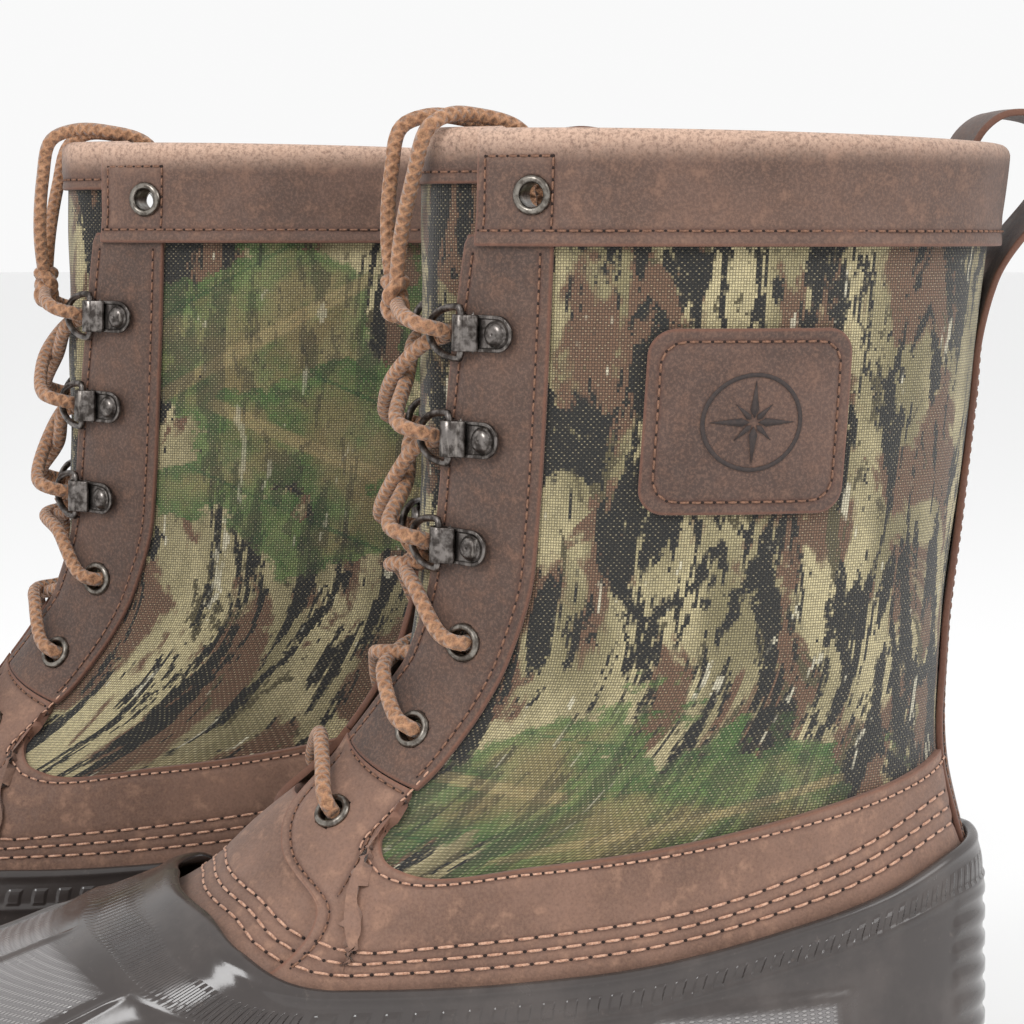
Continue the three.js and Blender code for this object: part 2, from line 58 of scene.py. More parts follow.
# %% [markdown]
# ## The camera
# The camera stands low beside the outer side of the left boot and looks a little down, with a long lens,
# so the far boot is nearly the size of the near one. It looks along a yaw of 7.5 degrees and 6 down.

# %% Camera
camera = bpy.data.objects.new("camera", bpy.data.cameras.new("camera"))
bpy.context.scene.collection.objects.link(camera)
bpy.context.scene.camera = camera
camera.data.sensor_width = 36.0
camera.data.lens = 96.5
camera.location = (0.7787, -0.0305, 0.2555)
looking = Vector((-0.9860, 0.1298, -0.1045))
camera.rotation_euler = looking.to_track_quat("-Z", "Y").to_euler()
print("camera looks along", [round(v, 3) for v in looking])

# %% [markdown]
# ## The boot's surface
# A boot is lofted over a last: every height has a front, a back, a width and a place where it is widest.
# Here those are smooth curves through a few heights, in millimetres, with x forward from the heel and y
# to the outer side. A place on the surface is (s, z): s runs from the front ridge, 0, to the heel, 1,
# positive on the outer side and negative on the inner one. Depth stands out from the surface.

# %% A smooth curve through a few heights
def profile(points):
    places, values = np.array(points, float).T
    slopes = np.diff(values) / np.diff(places)
    inner = [0.0 if a * b <= 0 else 2 * a * b / (a + b) for a, b in zip(slopes, slopes[1:])]
    tangents = np.array([slopes[0], *inner, slopes[-1]])

    def at(place):
        t = np.clip(np.asarray(place, float), places[0], places[-1])
        i = np.clip(np.searchsorted(places, t, side="right") - 1, 0, len(places) - 2)
        width = places[i + 1] - places[i]
        u = (t - places[i]) / width
        start = (1 + 2 * u) * (1 - u) ** 2 * values[i] + u * (1 - u) ** 2 * width * tangents[i]
        return start + u * u * (3 - 2 * u) * values[i + 1] - u * u * (1 - u) * width * tangents[i + 1]

    return at


def lerp(a, b, t):
    return a + (b - a) * t


def smooth(t):
    t = np.clip(t, 0, 1)
    return t * t * (3 - 2 * t)


# %% The lasted shape
front = profile([
    [0, 295], [30, 303], [50, 293], [66, 255], [84, 212],
    [100, 194], [120, 171], [145, 157], [170, 154], [290, 153],
])
back = profile([[0, 6], [40, 4], [84, 4], [98, 8], [128, 12], [189, 7], [279, -3]])
half_width = profile([
    [0, 47], [30, 52], [60, 51], [84, 47],
    [105, 43.5], [130, 42.5], [200, 47.5], [290, 50.5],
])
widest = profile([[0, 195], [60, 185], [84, 150], [110, 105], [150, 80], [290, 72]])
heel_squareness = profile([[50, 2.5], [110, 2]])


def skin_point(s, z):
    s, z = np.broadcast_arrays(np.asarray(s, float), np.asarray(z, float))
    power = 2 / heel_squareness(z)
    along, across = np.cos(np.pi * s), np.sin(np.pi * s)
    reach = np.where(along > 0, front(z) - widest(z), widest(z) - back(z))
    x = widest(z) + reach * np.sign(along) * np.abs(along) ** power
    y = half_width(z) * np.sign(across) * np.abs(across) ** power - 7 * smooth((x - 200) / 108)
    return np.stack([x, y, z], axis=-1)


def unit(vectors):
    return vectors / np.maximum(np.linalg.norm(vectors, axis=-1, keepdims=True), 1e-9)


def skin_normal(s, z):
    across = skin_point(s + 0.004, z) - skin_point(s - 0.004, z)
    upwards = skin_point(s, z + 0.5) - skin_point(s, z - 0.5)
    return unit(np.cross(across, upwards))


def lay(s, z, depth):
    s, z, depth = np.broadcast_arrays(*(np.asarray(v, float) for v in (s, z, depth)))
    return skin_point(s, z) + skin_normal(s, z) * depth[..., None]


def spread(s, z, distance):
    """The share of s that a distance along the surface takes."""
    return distance * 0.01 / np.linalg.norm(skin_point(s + 0.01, z) - skin_point(s, z), axis=-1)


def climb(s, z, distance):
    """The height gained by going a distance up along the surface."""
    return distance / np.linalg.norm(skin_point(s, z + 1) - skin_point(s, z), axis=-1)


# %% From one boot to the pair
boots = {"left": (1, 189.35), "right": (-1, 95.35)}


def world(boot, points):
    side, lead = boots[boot]
    x, y, z = np.moveaxis(np.asarray(points, float), -1, 0)
    return np.stack([side * (69.5 + y), lead - x, z], axis=-1) / 1000


# The distance round the shaft from the front ridge, which cloth is measured along.
arc_s = np.linspace(0, 1, 401)
arc_steps = np.linalg.norm(np.diff(skin_point(arc_s, 190.0), axis=0), axis=1)
arc_mm = np.concatenate([[0], np.cumsum(arc_steps)])


def around(s):
    return np.sign(s) * np.interp(np.abs(s), arc_s, arc_mm)


print("half way round the shaft is", round(arc_mm[-1]), "mm")

# %% [markdown]
# ## Seam lines
# Where the patterns meet: the rubber's rim, the eyestay's two edges, the quarter's top edge and the seam
# between vamp and quarter. Panels, stitches and grooves all read these, so they stay together.

# %% Seam lines
rubber_line = profile([
    [0, 84], [0.2, 81], [0.35, 75], [0.53, 68],
    [0.6, 69.5], [0.72, 79], [0.88, 91], [1, 93],
])
stay_front = profile([[110, 0.025], [131, 0.045], [146, 0.09], [170, 0.125], [211, 0.15], [279, 0.2]])
stay_back = profile([[113, 0.258], [135, 0.262], [170, 0.288], [279, 0.3]])
quarter_top = profile([
    [0.25, 113], [0.29, 101.5], [0.36, 95],
    [0.42, 93.3], [0.53, 97], [0.7, 107.5], [1, 121],
])
vamp_seam = profile([[60, 0.43], [72, 0.417], [85, 0.34], [97, 0.17], [108, 0.07], [122, 0.03]])
leather, collar_bottom, shaft_top, strap_half = 1.8, 250.0, 279.0, 12.0
eyelets = [(0.18, 106.0), (0.18, 127.0), (0.2, 150.0)]
collar_eyelet = (0.273, 262.5)
ring_heights = [175.0, 202.0, 228.5]


def strap_edge(z):
    return 1 - spread(1.0, z, strap_half)


def leather_bottom(s):
    s = np.abs(s)
    return rubber_line(s) - lerp(3.5, 9, np.minimum(1, s / 0.4))


# %% [markdown]
# ## The laces
# A boot lace is one round braided cord. It starts at the middle of the lowest bar, goes down through the
# lowest eyelets, crosses over the tongue and back under each facing, turns round the bow of every D-ring
# and is knotted at the top. Here the ends are tucked over the tongue into the shaft. A route of points
# in the order the cord is threaded gives one smooth line, and a bevelled curve gives it its thickness.

# %% A smooth line through points
def smooth_line(points, step=1.5):
    """A centripetal Catmull-Rom line through the points, with its own points a step apart."""
    p = np.asarray(points, float)
    p = np.concatenate([[2 * p[0] - p[1]], p, [2 * p[-1] - p[-2]]])
    dt = np.linalg.norm(np.diff(p, axis=0), axis=1) ** 0.5
    t = np.linspace(0, 1, 17)[:-1, None]
    line = []
    for i in range(1, len(p) - 2):
        a, b, c = dt[i - 1], dt[i], dt[i + 1]
        start = ((p[i] - p[i - 1]) / a - (p[i + 1] - p[i - 1]) / (a + b) + (p[i + 1] - p[i]) / b) * b
        end = ((p[i + 1] - p[i]) / b - (p[i + 2] - p[i]) / (b + c) + (p[i + 2] - p[i + 1]) / c) * b
        line.append(
            p[i] * (1 - 3 * t**2 + 2 * t**3) + start * (t - 2 * t**2 + t**3)
            + p[i + 1] * (3 * t**2 - 2 * t**3) + end * (t**3 - t**2)
        )
    line = np.concatenate([*line, p[-2:-1]])
    along = np.concatenate([[0], np.cumsum(np.linalg.norm(np.diff(line, axis=0), axis=1))])
    places = np.linspace(0, along[-1], int(along[-1] / step) + 2)
    return np.stack([np.interp(places, along, line[:, k]) for k in range(3)], axis=1)


# %% Where the hardware stands
ring_wire, ring_reach, ring_span, ring_play, ring_setback = 2.2, 12.5, 12.8, 2.0, 4.5
hinge_out = leather + 0.3 + ring_wire / 2 + 1.2
ring_tilt = math.radians(14)


def clip_frame(z):
    """The clip's frame: x up, y forwards, z out, on the ring's hinge line."""
    s = stay_front(z) + spread(0.18, z, ring_setback)
    out = skin_normal(s, z)
    up = unit(skin_point(s, z + 1) - skin_point(s, z - 1))
    return lay(s, z, hinge_out), np.stack([up, np.cross(out, up), out])


# %% The lace's route
lace_diameter = 4.0
lace_over = leather + lace_diameter / 2 + 0.8
lace_under = -(lace_diameter / 2 + 1.3)
tongue_top, tongue_sunk, tongue_ridge = 279.5, -8.6, 0.5 - lace_diameter
knot_place = lay(0.0, 237.0, 3.6)


def tongue_depth(s, z):
    ridge = lerp(tongue_sunk, tongue_ridge, smooth((z - 115) / 30))
    return lerp(ridge, tongue_sunk, smooth((np.abs(s) / stay_front(z) - 0.35) / 0.6))


def through_eyelet(side, place):
    s, z = place
    return [
        lay(side * (s - 0.03), z - 2, lace_under), lay(side * s, z, lace_under + 1.6),
        lay(side * s, z, lace_over - 1), lay(side * (s - 0.025), z + 1.5, lace_over + 0.2),
    ]


def through_ring(side, z):
    round_wire = lace_diameter / 2 + ring_wire / 2 + ring_play
    bar_y, bar_z = ring_reach * math.cos(ring_tilt), -ring_reach * math.sin(ring_tilt)
    turn = [
        [-3.2, bar_y + 4, bar_z - round_wire + 0.6], [-1.6, bar_y - 1, bar_z - round_wire],
        [0, bar_y - round_wire, bar_z + 0.3], [1.6, bar_y - 1, bar_z + round_wire],
        [3.2, bar_y + 4, bar_z + round_wire - 0.8],
    ]
    origin, axes = clip_frame(z)
    return [(origin + np.array(place) @ axes) * [1, side, 1] for place in turn]


def crossing(side, z, upper):
    ridge = tongue_depth(0, z) + lace_diameter / 2 + 1.9
    edge = stay_front(z)
    dive = tongue_depth(0.6 * edge, z) + lace_diameter / 2 + 1.8
    return [
        lay(side * edge * 0.9, z - 4, lace_over + (0 if z > 160 else 0.8)),
        lay(0.0, z, ridge + lace_diameter - 0.4 if upper else ridge),
        lay(-side * edge * 0.6, z + 2, dive),
    ]


def lace_half(side):
    """From beside the lowest bar up to the knot."""
    s, z = eyelets[0]
    start = [
        lay(side * 0.09, 114, lace_over + 1.4), lay(side * (s - 0.012), z + 1, lace_over + 0.6),
        lay(side * s, z, leather / 2 + 0.4), lay(side * (s - 0.01), z + 1, lace_under - 0.4),
        lay(side * 0.08, 114, lace_under - 1.3), lay(0.0, 118.5, lace_under - 1 - 0.5 * side),
        lay(-side * 0.09, 122.5, lace_under - 0.8),
    ]
    climbing = [
        *through_eyelet(-side, eyelets[1]), *crossing(-side, 143, side > 0),
        *through_eyelet(side, eyelets[2]), *crossing(side, 167, side < 0),
        *through_ring(-side, ring_heights[0]), crossing(-side, 189, side > 0)[1],
        *through_ring(side, ring_heights[1]), crossing(side, 216, side < 0)[1],
        *through_ring(-side, ring_heights[2]), knot_place,
    ]
    return start + climbing


def lace_end(side):
    """From the knot over the tongue's top and down inside the shaft."""
    over = tongue_top + lace_diameter / 2 + 1.2
    middle = skin_point(0.0, shaft_top)[0]
    if side > 0:
        rising = [lay(0.03, 252, 3), lay(0.075, 267, 2.6), lay(0.105, over - 3.5, 1.6), lay(0.11, over, -4)]
    else:
        rising = [
            lay(-0.03, 252, 5.5), lay(-0.035, 269, 4.6), lay(-0.045, over - 2.5, 2.4),
            lay(-0.055, over + 0.6, -4),
        ]
    inside = [[-15, over + 0.2], [-27, over - 3.5], [-32, over - 14], [-35, over - 50], [-37, over - 100]]
    return rising + [np.array([middle + x, side * 12, z]) for x, z in inside]


route = [
    *lace_end(1)[::-1], *lace_half(1)[::-1], lay(0.0, 118.4, 4.6 + leather),
    *lace_half(-1), *lace_end(-1),
]
lace_line = smooth_line(route)

# %% [markdown]
# ## Making and finishing a piece
# Each piece is worked out as a bmesh and then written once into an object at the origin, so its place is
# in its mesh. The helper also says which body it rides on and which plain solid it stands for.

# %% Write a bmesh into a piece
def make_piece(name, bm, finish, body, stands_for=(), seen_smooth=True):
    mesh = bpy.data.meshes.new(name)
    bm.to_mesh(mesh)
    bm.free()
    piece = bpy.data.objects.new(name, mesh)
    bpy.context.scene.collection.objects.link(piece)
    mesh.materials.append(finish)
    if seen_smooth:
        mesh.shade_smooth()
    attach(piece, body)
    if stands_for:
        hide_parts(*stands_for)
    return piece


def tell(piece):
    print(f"{piece.name}: {len(piece.data.polygons)} faces")


# %% A tube along a line
def tube_mesh(line, diameter, sides=12, closed=False):
    """A bevelled curve turned into a mesh, with how far along and how far round it goes in an attribute."""
    curve = bpy.data.curves.new("tube", "CURVE")
    curve.dimensions = "3D"
    curve.bevel_depth = diameter / 2
    curve.bevel_resolution = (sides - 4) // 2
    curve.use_fill_caps = not closed
    curve.twist_mode = "MINIMUM"
    spline = curve.splines.new("POLY")
    spline.points.add(len(line) - 1)
    spline.points.foreach_set("co", np.column_stack([line, np.ones(len(line))]).ravel())
    spline.use_cyclic_u = closed
    holder = bpy.data.objects.new("tube", curve)
    mesh = bpy.data.meshes.new_from_object(holder)
    bpy.data.objects.remove(holder)
    bpy.data.curves.remove(curve)
    bm = bmesh.new()
    bm.from_mesh(mesh)
    bpy.data.meshes.remove(mesh)
    layer = bm.verts.layers.float_vector.new("braid")
    along = np.concatenate([[0], np.cumsum(np.linalg.norm(np.diff(line, axis=0), axis=1))])
    for number, vert in enumerate(bm.verts):
        angle = 2 * math.pi * (number % sides) / sides
        vert[layer] = (along[min(number // sides, len(line) - 1)], math.cos(angle), math.sin(angle))
    return bm


# %% [markdown]
# ## Building finishes from nodes
# A finish is a small graph: noises and waves give a colour, a roughness and a bump. Patterns that follow
# the surface, such as a weave, read the piece's own attribute. The rest read Object coordinates, which
# are metres here, so a scale of 1000 is a detail a millimetre wide.

# %% Helpers for node graphs
def srgb(red, green, blue):
    def linear(v):
        v = v / 255
        return v / 12.92 if v <= 0.04045 else ((v + 0.055) / 1.055) ** 2.4

    return (linear(red), linear(green), linear(blue), 1.0)


class Finish:
    """A material and short ways to add nodes to it."""

    def __init__(self, name, roughness, metallic=0.0, **fixed):
        self.material = bpy.data.materials.new(name)
        self.material.use_nodes = True
        self.tree = self.material.node_tree
        self.shader = self.tree.nodes["Principled BSDF"]
        self.shader.inputs["Roughness"].default_value = roughness
        self.shader.inputs["Metallic"].default_value = metallic
        for socket, value in fixed.items():
            self.shader.inputs[socket.replace("_", " ")].default_value = value
        self.place = self.tree.nodes.new("ShaderNodeTexCoord").outputs["Object"]

    def add(self, kind, inputs, **settings):
        node = self.tree.nodes.new("ShaderNode" + kind)
        for key, value in settings.items():
            setattr(node, key, value)
        for key, value in inputs.items():
            if isinstance(value, bpy.types.NodeSocket):
                self.tree.links.new(value, node.inputs[key])
            else:
                node.inputs[key].default_value = value
        return node

    def noise(self, scale, where=None, detail=3.0, rough=0.5, bend=0.0):
        inputs = {"Vector": where or self.place, "Scale": scale, "Detail": detail, "Roughness": rough}
        return self.add("TexNoise", {**inputs, "Distortion": bend}).outputs["Fac"]

    def calc(self, operation, a, b=0.0):
        return self.add("Math", {0: a, 1: b}, operation=operation).outputs[0]

    def ramp(self, value, low, high, to_low=0.0, to_high=1.0):
        inputs = {"Value": value, "From Min": low, "From Max": high, "To Min": to_low, "To Max": to_high}
        return self.add("MapRange", inputs, interpolation_type="SMOOTHSTEP").outputs["Result"]

    def mix(self, share, a, b, how="MIX"):
        node = self.add("Mix", {0: share, 6: a, 7: b}, data_type="RGBA", blend_type=how)
        return node.outputs[2]

    def stretch(self, where, scale, turn=0.0, shift=(0, 0, 0)):
        inputs = {"Vector": where, "Scale": scale, "Rotation": (0, 0, turn), "Location": shift}
        return self.add("Mapping", inputs).outputs["Vector"]

    def attribute(self, name, output="Fac"):
        return self.add("Attribute", {}, attribute_name=name).outputs[output]

    def split(self, vector):
        return self.add("SeparateXYZ", {"Vector": vector}).outputs

    def colour(self, value):
        self.tree.links.new(value, self.shader.inputs["Base Color"])

    def rough(self, value):
        self.tree.links.new(value, self.shader.inputs["Roughness"])

    def bump(self, height, millimetres, strength=1.0):
        inputs = {"Height": height, "Distance": millimetres / 1000, "Strength": strength}
        normal = self.add("Bump", inputs).outputs["Normal"]
        self.tree.links.new(normal, self.shader.inputs["Normal"])


# %% [markdown]
# ## Oiled leather
# Oiled nubuck is matt, mottled where the oil has moved, and paler where it is rubbed or cut. The
# colour is three noises of different sizes, an "edge" attribute, the distance to the cut edge in
# millimetres, brings out the raw edge, and a "groove" attribute darkens the line the stitches pull down.
# On the collar's bent-over top, a pale nap carries a painted highlight where light from above falls.

# %% Leather finishes
def leather_finish(name, dark, mid, pale, nap_and_highlight_above=None):
    skin = Finish(name, 0.72, Sheen_Weight=0.12, Sheen_Roughness=0.6)
    clouds = skin.noise(34.0, detail=4.0, rough=0.55)
    mottle = skin.noise(210.0, detail=5.0, rough=0.65)
    speckle = skin.noise(1300.0, detail=3.0, rough=0.7)
    colour = skin.mix(skin.ramp(clouds, 0.32, 0.68), dark, mid)
    colour = skin.mix(skin.ramp(mottle, 0.5, 0.72, 0.0, 0.55), colour, pale)
    colour = skin.mix(skin.ramp(speckle, 0.42, 0.66, 0.0, 0.24), colour, srgb(150, 114, 94))
    colour = skin.mix(skin.ramp(speckle, 0.3, 0.46, 0.28, 0.0), colour, srgb(74, 48, 36))
    edge = skin.attribute("edge")
    colour = skin.mix(skin.ramp(edge, 0.2, 1.1, 0.6, 0.0), colour, srgb(112, 68, 48))
    colour = skin.mix(skin.ramp(skin.attribute("groove"), 0.25, 0.9, 0.0, 0.5), colour, srgb(78, 48, 36))
    height = skin.calc("MULTIPLY", speckle, 0.5)
    height = skin.calc("ADD", height, skin.calc("MULTIPLY", mottle, 0.5))
    if nap_and_highlight_above is not None:
        # the collar's top roll: pale nap with a painted highlight where light from above falls, and the nap's relief
        high = skin.ramp(skin.split(skin.place)["Z"], *nap_and_highlight_above)
        nap = skin.noise(900.0, detail=4.0, rough=0.8)
        share = skin.calc("MULTIPLY", high, skin.ramp(nap, 0.3, 0.6, 0.25, 0.95))
        colour = skin.mix(share, colour, srgb(206, 172, 150))
        height = skin.calc("ADD", height, skin.calc("MULTIPLY", skin.calc("MULTIPLY", high, nap), 1.6))
    skin.colour(colour)
    skin.rough(skin.ramp(mottle, 0.3, 0.7, 0.62, 0.82))
    skin.bump(height, 0.28, 0.8)
    return skin.material


brown_leather = leather_finish("oiled_leather", srgb(58, 41, 33), srgb(78, 56, 45), srgb(112, 82, 66))
vamp_leather = leather_finish("worn_vamp_leather", srgb(98, 71, 57), srgb(122, 91, 75), srgb(162, 126, 104))
collar_leather = leather_finish(
    "collar_leather", srgb(74, 53, 43), srgb(94, 69, 57), srgb(130, 99, 82), nap_and_highlight_above=(0.2695, 0.2785)
)
strap_leather = leather_finish("strap_leather", srgb(64, 45, 37), srgb(84, 61, 51), srgb(110, 82, 68))
print("leather finishes made")

# %% [markdown]
# ## Printed canvas
# The shaft is a heavy plain weave with a woodland print. The weave is counted in threads of 0.7 mm from
# the cloth's own coordinates: in a plain weave the threads that show on top make a chequerboard of small
# pillows. The print is sampled once a thread, because ink soaks a whole thread, so its edges step with
# the weave. Its bark is noise stretched upwards, and its leaves are distorted ellipses with pale veins.

# %% Camouflage canvas
thread_pitch = 0.0007


def canvas_finish(name, leaves, bark_amount):
    cloth = Finish(name, 0.9, Sheen_Weight=0.25, Sheen_Roughness=0.5)
    lie = cloth.attribute("cloth", "Vector")
    axes = cloth.split(lie)
    threads = [cloth.calc("DIVIDE", axes[k], thread_pitch) for k in ("X", "Y")]
    whole = [cloth.calc("FLOOR", t) for t in threads]
    part = [cloth.calc("FRACT", t) for t in threads]
    pillow = [cloth.calc("SINE", cloth.calc("MULTIPLY", p, math.pi)) for p in part]
    across = cloth.calc("MULTIPLY", cloth.calc("POWER", pillow[0], 0.35), cloth.calc("POWER", pillow[1], 1.3))
    upright = cloth.calc("MULTIPLY", cloth.calc("POWER", pillow[0], 1.3), cloth.calc("POWER", pillow[1], 0.35))
    odd = cloth.calc("PINGPONG", cloth.calc("ADD", whole[0], whole[1]), 1.0)
    low = cloth.calc("MULTIPLY", upright, 0.62)
    height = cloth.add("Mix", {0: odd, 2: across, 3: low}, data_type="FLOAT").outputs[0]
    middle = cloth.add("CombineXYZ", {
        "X": cloth.calc("MULTIPLY", cloth.calc("ADD", whole[0], 0.5), thread_pitch),
        "Y": cloth.calc("MULTIPLY", cloth.calc("ADD", whole[1], 0.5), thread_pitch),
        "Z": axes["Z"],
    }).outputs["Vector"]
    # the print, from the ground up: khaki, brown patches, dark bark, then leaves
    ground = cloth.noise(1.0, cloth.stretch(middle, (38, 16, 1)), 3.0, 0.6)
    colour = cloth.mix(cloth.ramp(ground, 0.35, 0.62), srgb(140, 130, 94), srgb(206, 192, 148))
    rust = cloth.noise(1.0, cloth.stretch(middle, (42, 22, 1), 0.25, (3, 7, 2)), 5.0, 0.62, 0.6)
    colour = cloth.mix(cloth.ramp(rust, 0.5, 0.54), colour, srgb(116, 86, 66))
    drift = cloth.noise(1.0, cloth.stretch(middle, (60, 24, 1), 0.0, (9, 1, 4)), 6.0, 0.68, 0.9)
    colour = cloth.mix(cloth.ramp(drift, 0.58, 0.6), colour, srgb(92, 84, 58))
    bare = 1.0
    for centre, size, turn, amount in leaves:
        move = (-centre[0], -centre[1], 0)
        shifted = cloth.add("VectorMath", {0: middle, 1: move}, operation="ADD").outputs[0]
        leaf = cloth.stretch(shifted, (1 / size[0], 1 / size[1], 1), 0.0)
        turned = cloth.add("VectorRotate", {"Vector": leaf, "Angle": turn}, rotation_type="Z_AXIS").outputs[0]
        ragged = cloth.noise(46.0, middle, 5.0, 0.7)
        parts = cloth.split(turned)
        lobes = cloth.calc("MULTIPLY", cloth.calc("COSINE", cloth.calc("MULTIPLY", parts["X"], 7.5)), 0.28)
        reach = cloth.calc("ADD", cloth.calc("ABSOLUTE", parts["Y"]), lobes)
        far = cloth.calc("ADD", cloth.calc("ABSOLUTE", parts["X"]), cloth.calc("ABSOLUTE", reach))
        far = cloth.calc("ADD", far, cloth.calc("MULTIPLY", cloth.calc("SUBTRACT", ragged, 0.5), 2.4))
        inside = cloth.ramp(far, 0.86, 0.98, amount, 0.0)
        shade = cloth.noise(60.0, cloth.stretch(middle, (1, 1.6, 1), turn), 4.0, 0.6)
        green = cloth.mix(cloth.ramp(shade, 0.4, 0.6), srgb(58, 100, 46), srgb(104, 130, 72))
        green = cloth.mix(cloth.ramp(far, 0.2, 0.85, 0.9, 0.0), green, srgb(142, 126, 84))
        vein = cloth.calc("ABSOLUTE", cloth.calc("SINE", cloth.calc("MULTIPLY", parts["Y"], 7.0)))
        vein = cloth.calc("ADD", vein, cloth.calc("MULTIPLY", shade, 0.25))
        green = cloth.mix(cloth.ramp(vein, 0.16, 0.24, 0.85, 0.0), green, srgb(44, 92, 44))
        rib = cloth.ramp(cloth.calc("ABSOLUTE", parts["Y"]), 0.03, 0.06, 0.8, 0.0)
        green = cloth.mix(rib, green, srgb(170, 150, 104))
        colour = cloth.mix(inside, colour, green)
        bare = cloth.calc("MULTIPLY", bare, cloth.calc("SUBTRACT", 1.0, inside))
    # dark bark and twigs cover the ground, thin on a leaf, and a few threads of the bark are bleached
    bare = cloth.calc("ADD", cloth.calc("MULTIPLY", bare, 0.6), 0.4)
    bark = cloth.noise(1.0, cloth.stretch(middle, (74, 17, 1), 0.08, (1, 4, 8)), 8.0, 0.66, 1.3)
    dark = cloth.calc("MULTIPLY", cloth.ramp(bark, bark_amount, bark_amount + 0.02), bare)
    colour = cloth.mix(dark, colour, srgb(22, 24, 26))
    twig = cloth.noise(1.0, cloth.stretch(middle, (150, 26, 1), -0.1, (5, 2, 1)), 5.0, 0.62, 1.0)
    thin = cloth.calc("MULTIPLY", cloth.ramp(twig, 0.6, 0.62), bare)
    colour = cloth.mix(thin, colour, srgb(22, 24, 26))
    bleached = cloth.noise(1.0, cloth.stretch(middle, (190, 40, 1), 0.05, (2, 8, 3)), 4.0, 0.6, 0.6)
    pale = cloth.calc("MULTIPLY", cloth.ramp(bleached, 0.64, 0.67, 0.0, 0.8), bare)
    colour = cloth.mix(pale, colour, srgb(226, 218, 190))
    # every thread takes the ink a little differently, and a painted highlight brightens its crown
    each = cloth.add("TexWhiteNoise", {"Vector": middle}, noise_dimensions="3D").outputs["Value"]
    colour = cloth.mix(cloth.ramp(each, 0.0, 1.0, 0.0, 0.3), colour, srgb(60, 52, 40))
    # painted shade in the gaps between the threads
    colour = cloth.mix(cloth.ramp(height, 0.15, 0.55, 0.62, 0.0), colour, srgb(26, 24, 20))
    crown = cloth.calc("MULTIPLY", cloth.ramp(height, 0.7, 1.0), cloth.ramp(each, 0.2, 1.0, 0.1, 0.5))
    colour = cloth.mix(crown, colour, srgb(214, 200, 160), "SCREEN")
    cloth.colour(colour)
    cloth.bump(height, 0.25, 0.9)
    return cloth.material


near_canvas = canvas_finish("bark_canvas", [
    ((0.085, 0.112), (0.066, 0.028), 0.3, 0.85), ((0.115, 0.106), (0.046, 0.026), -0.5, 0.8),
], 0.515)
far_canvas = canvas_finish("leaf_canvas", [
    ((-0.08, 0.222), (0.05, 0.042), 0.6, 0.85), ((-0.108, 0.185), (0.07, 0.036), -0.7, 0.85),
    ((-0.15, 0.225), (0.04, 0.06), 0.9, 0.85),
], 0.52)
print("canvas finishes made")

# %% [markdown]
# ## Rubber, metal, cord, thread and felt
# The rubber is a dark brown compound, glossy where the mould was polished and finely textured in its
# panels. The hardware is antiqued: mottled dark and bright in random patches, with pale scratches. The
# lace is a braid of two sets of strands that cross, and the felt is matted wool.

# %% Moulded rubber
def rubber_finish(name, base, dusty, gloss):
    rubber = Finish(name, gloss, Specular_IOR_Level=0.55)
    place = rubber.attribute("mould", "Vector")
    axes = rubber.split(place)
    haze = rubber.noise(42.0, detail=5.0, rough=0.6)
    scuff = rubber.noise(260.0, detail=6.0, rough=0.7)
    colour = rubber.mix(rubber.ramp(haze, 0.4, 0.7), base, dusty)
    colour = rubber.mix(rubber.ramp(scuff, 0.6, 0.75, 0.0, 0.25), colour, srgb(120, 108, 100))
    rubber.rough(rubber.ramp(haze, 0.35, 0.7, gloss, gloss + 0.16))
    # fine nets of raised diamonds, and flutes, only where the mould attribute says so
    net = rubber.attribute("net")
    flutes = rubber.attribute("flutes")
    slant = [rubber.calc("ADD", axes["X"], rubber.calc("MULTIPLY", axes["Y"], k)) for k in (1.0, -1.0)]
    waves = [rubber.calc("SINE", rubber.calc("MULTIPLY", v, 2 * math.pi / 0.0021)) for v in slant]
    diamonds = rubber.calc("MULTIPLY", waves[0], waves[1])
    diamonds = rubber.calc("MULTIPLY", rubber.ramp(diamonds, -0.1, 0.45), net)
    fluting = rubber.calc("SINE", rubber.calc("MULTIPLY", axes["X"], 2 * math.pi / 0.0022))
    fluting = rubber.calc("MULTIPLY", rubber.ramp(fluting, -0.5, 0.5), flutes)
    colour = rubber.mix(rubber.calc("MULTIPLY", net, 0.65), colour, srgb(132, 129, 129))
    colour = rubber.mix(rubber.calc("MULTIPLY", diamonds, 0.5), colour, srgb(168, 164, 162))
    rubber.colour(colour)
    height = rubber.calc("ADD", rubber.calc("ADD", diamonds, fluting), rubber.calc("MULTIPLY", scuff, 0.06))
    rubber.bump(height, 0.45, 1.0)
    return rubber.material


shell_rubber = rubber_finish("moulded_rubber", srgb(58, 52, 50), srgb(74, 67, 64), 0.12)
sole_rubber = rubber_finish("outsole_rubber", srgb(44, 38, 35), srgb(62, 55, 50), 0.55)


# %% Antiqued metal
def metal_finish(name, dark, bright, roughness):
    metal = Finish(name, roughness, 1.0)
    patches = metal.noise(420.0, detail=5.0, rough=0.6)
    scratches = metal.noise(900.0, metal.stretch(metal.place, (1, 1, 0.15)), 3.0, 0.6)
    colour = metal.mix(metal.ramp(patches, 0.38, 0.64), dark, bright)
    metal.colour(metal.mix(metal.ramp(scratches, 0.55, 0.7, 0.0, 0.35), colour, srgb(176, 168, 160)))
    metal.rough(metal.ramp(patches, 0.3, 0.7, roughness + 0.14, roughness - 0.05))
    metal.bump(scratches, 0.05, 0.6)
    return metal.material


gunmetal = metal_finish("antique_gunmetal", srgb(64, 59, 56), srgb(122, 116, 112), 0.33)
eyelet_metal = metal_finish("eyelet_gunmetal", srgb(88, 82, 76), srgb(140, 134, 126), 0.32)
steel = metal_finish("shank_steel", srgb(132, 134, 136), srgb(176, 178, 180), 0.35)


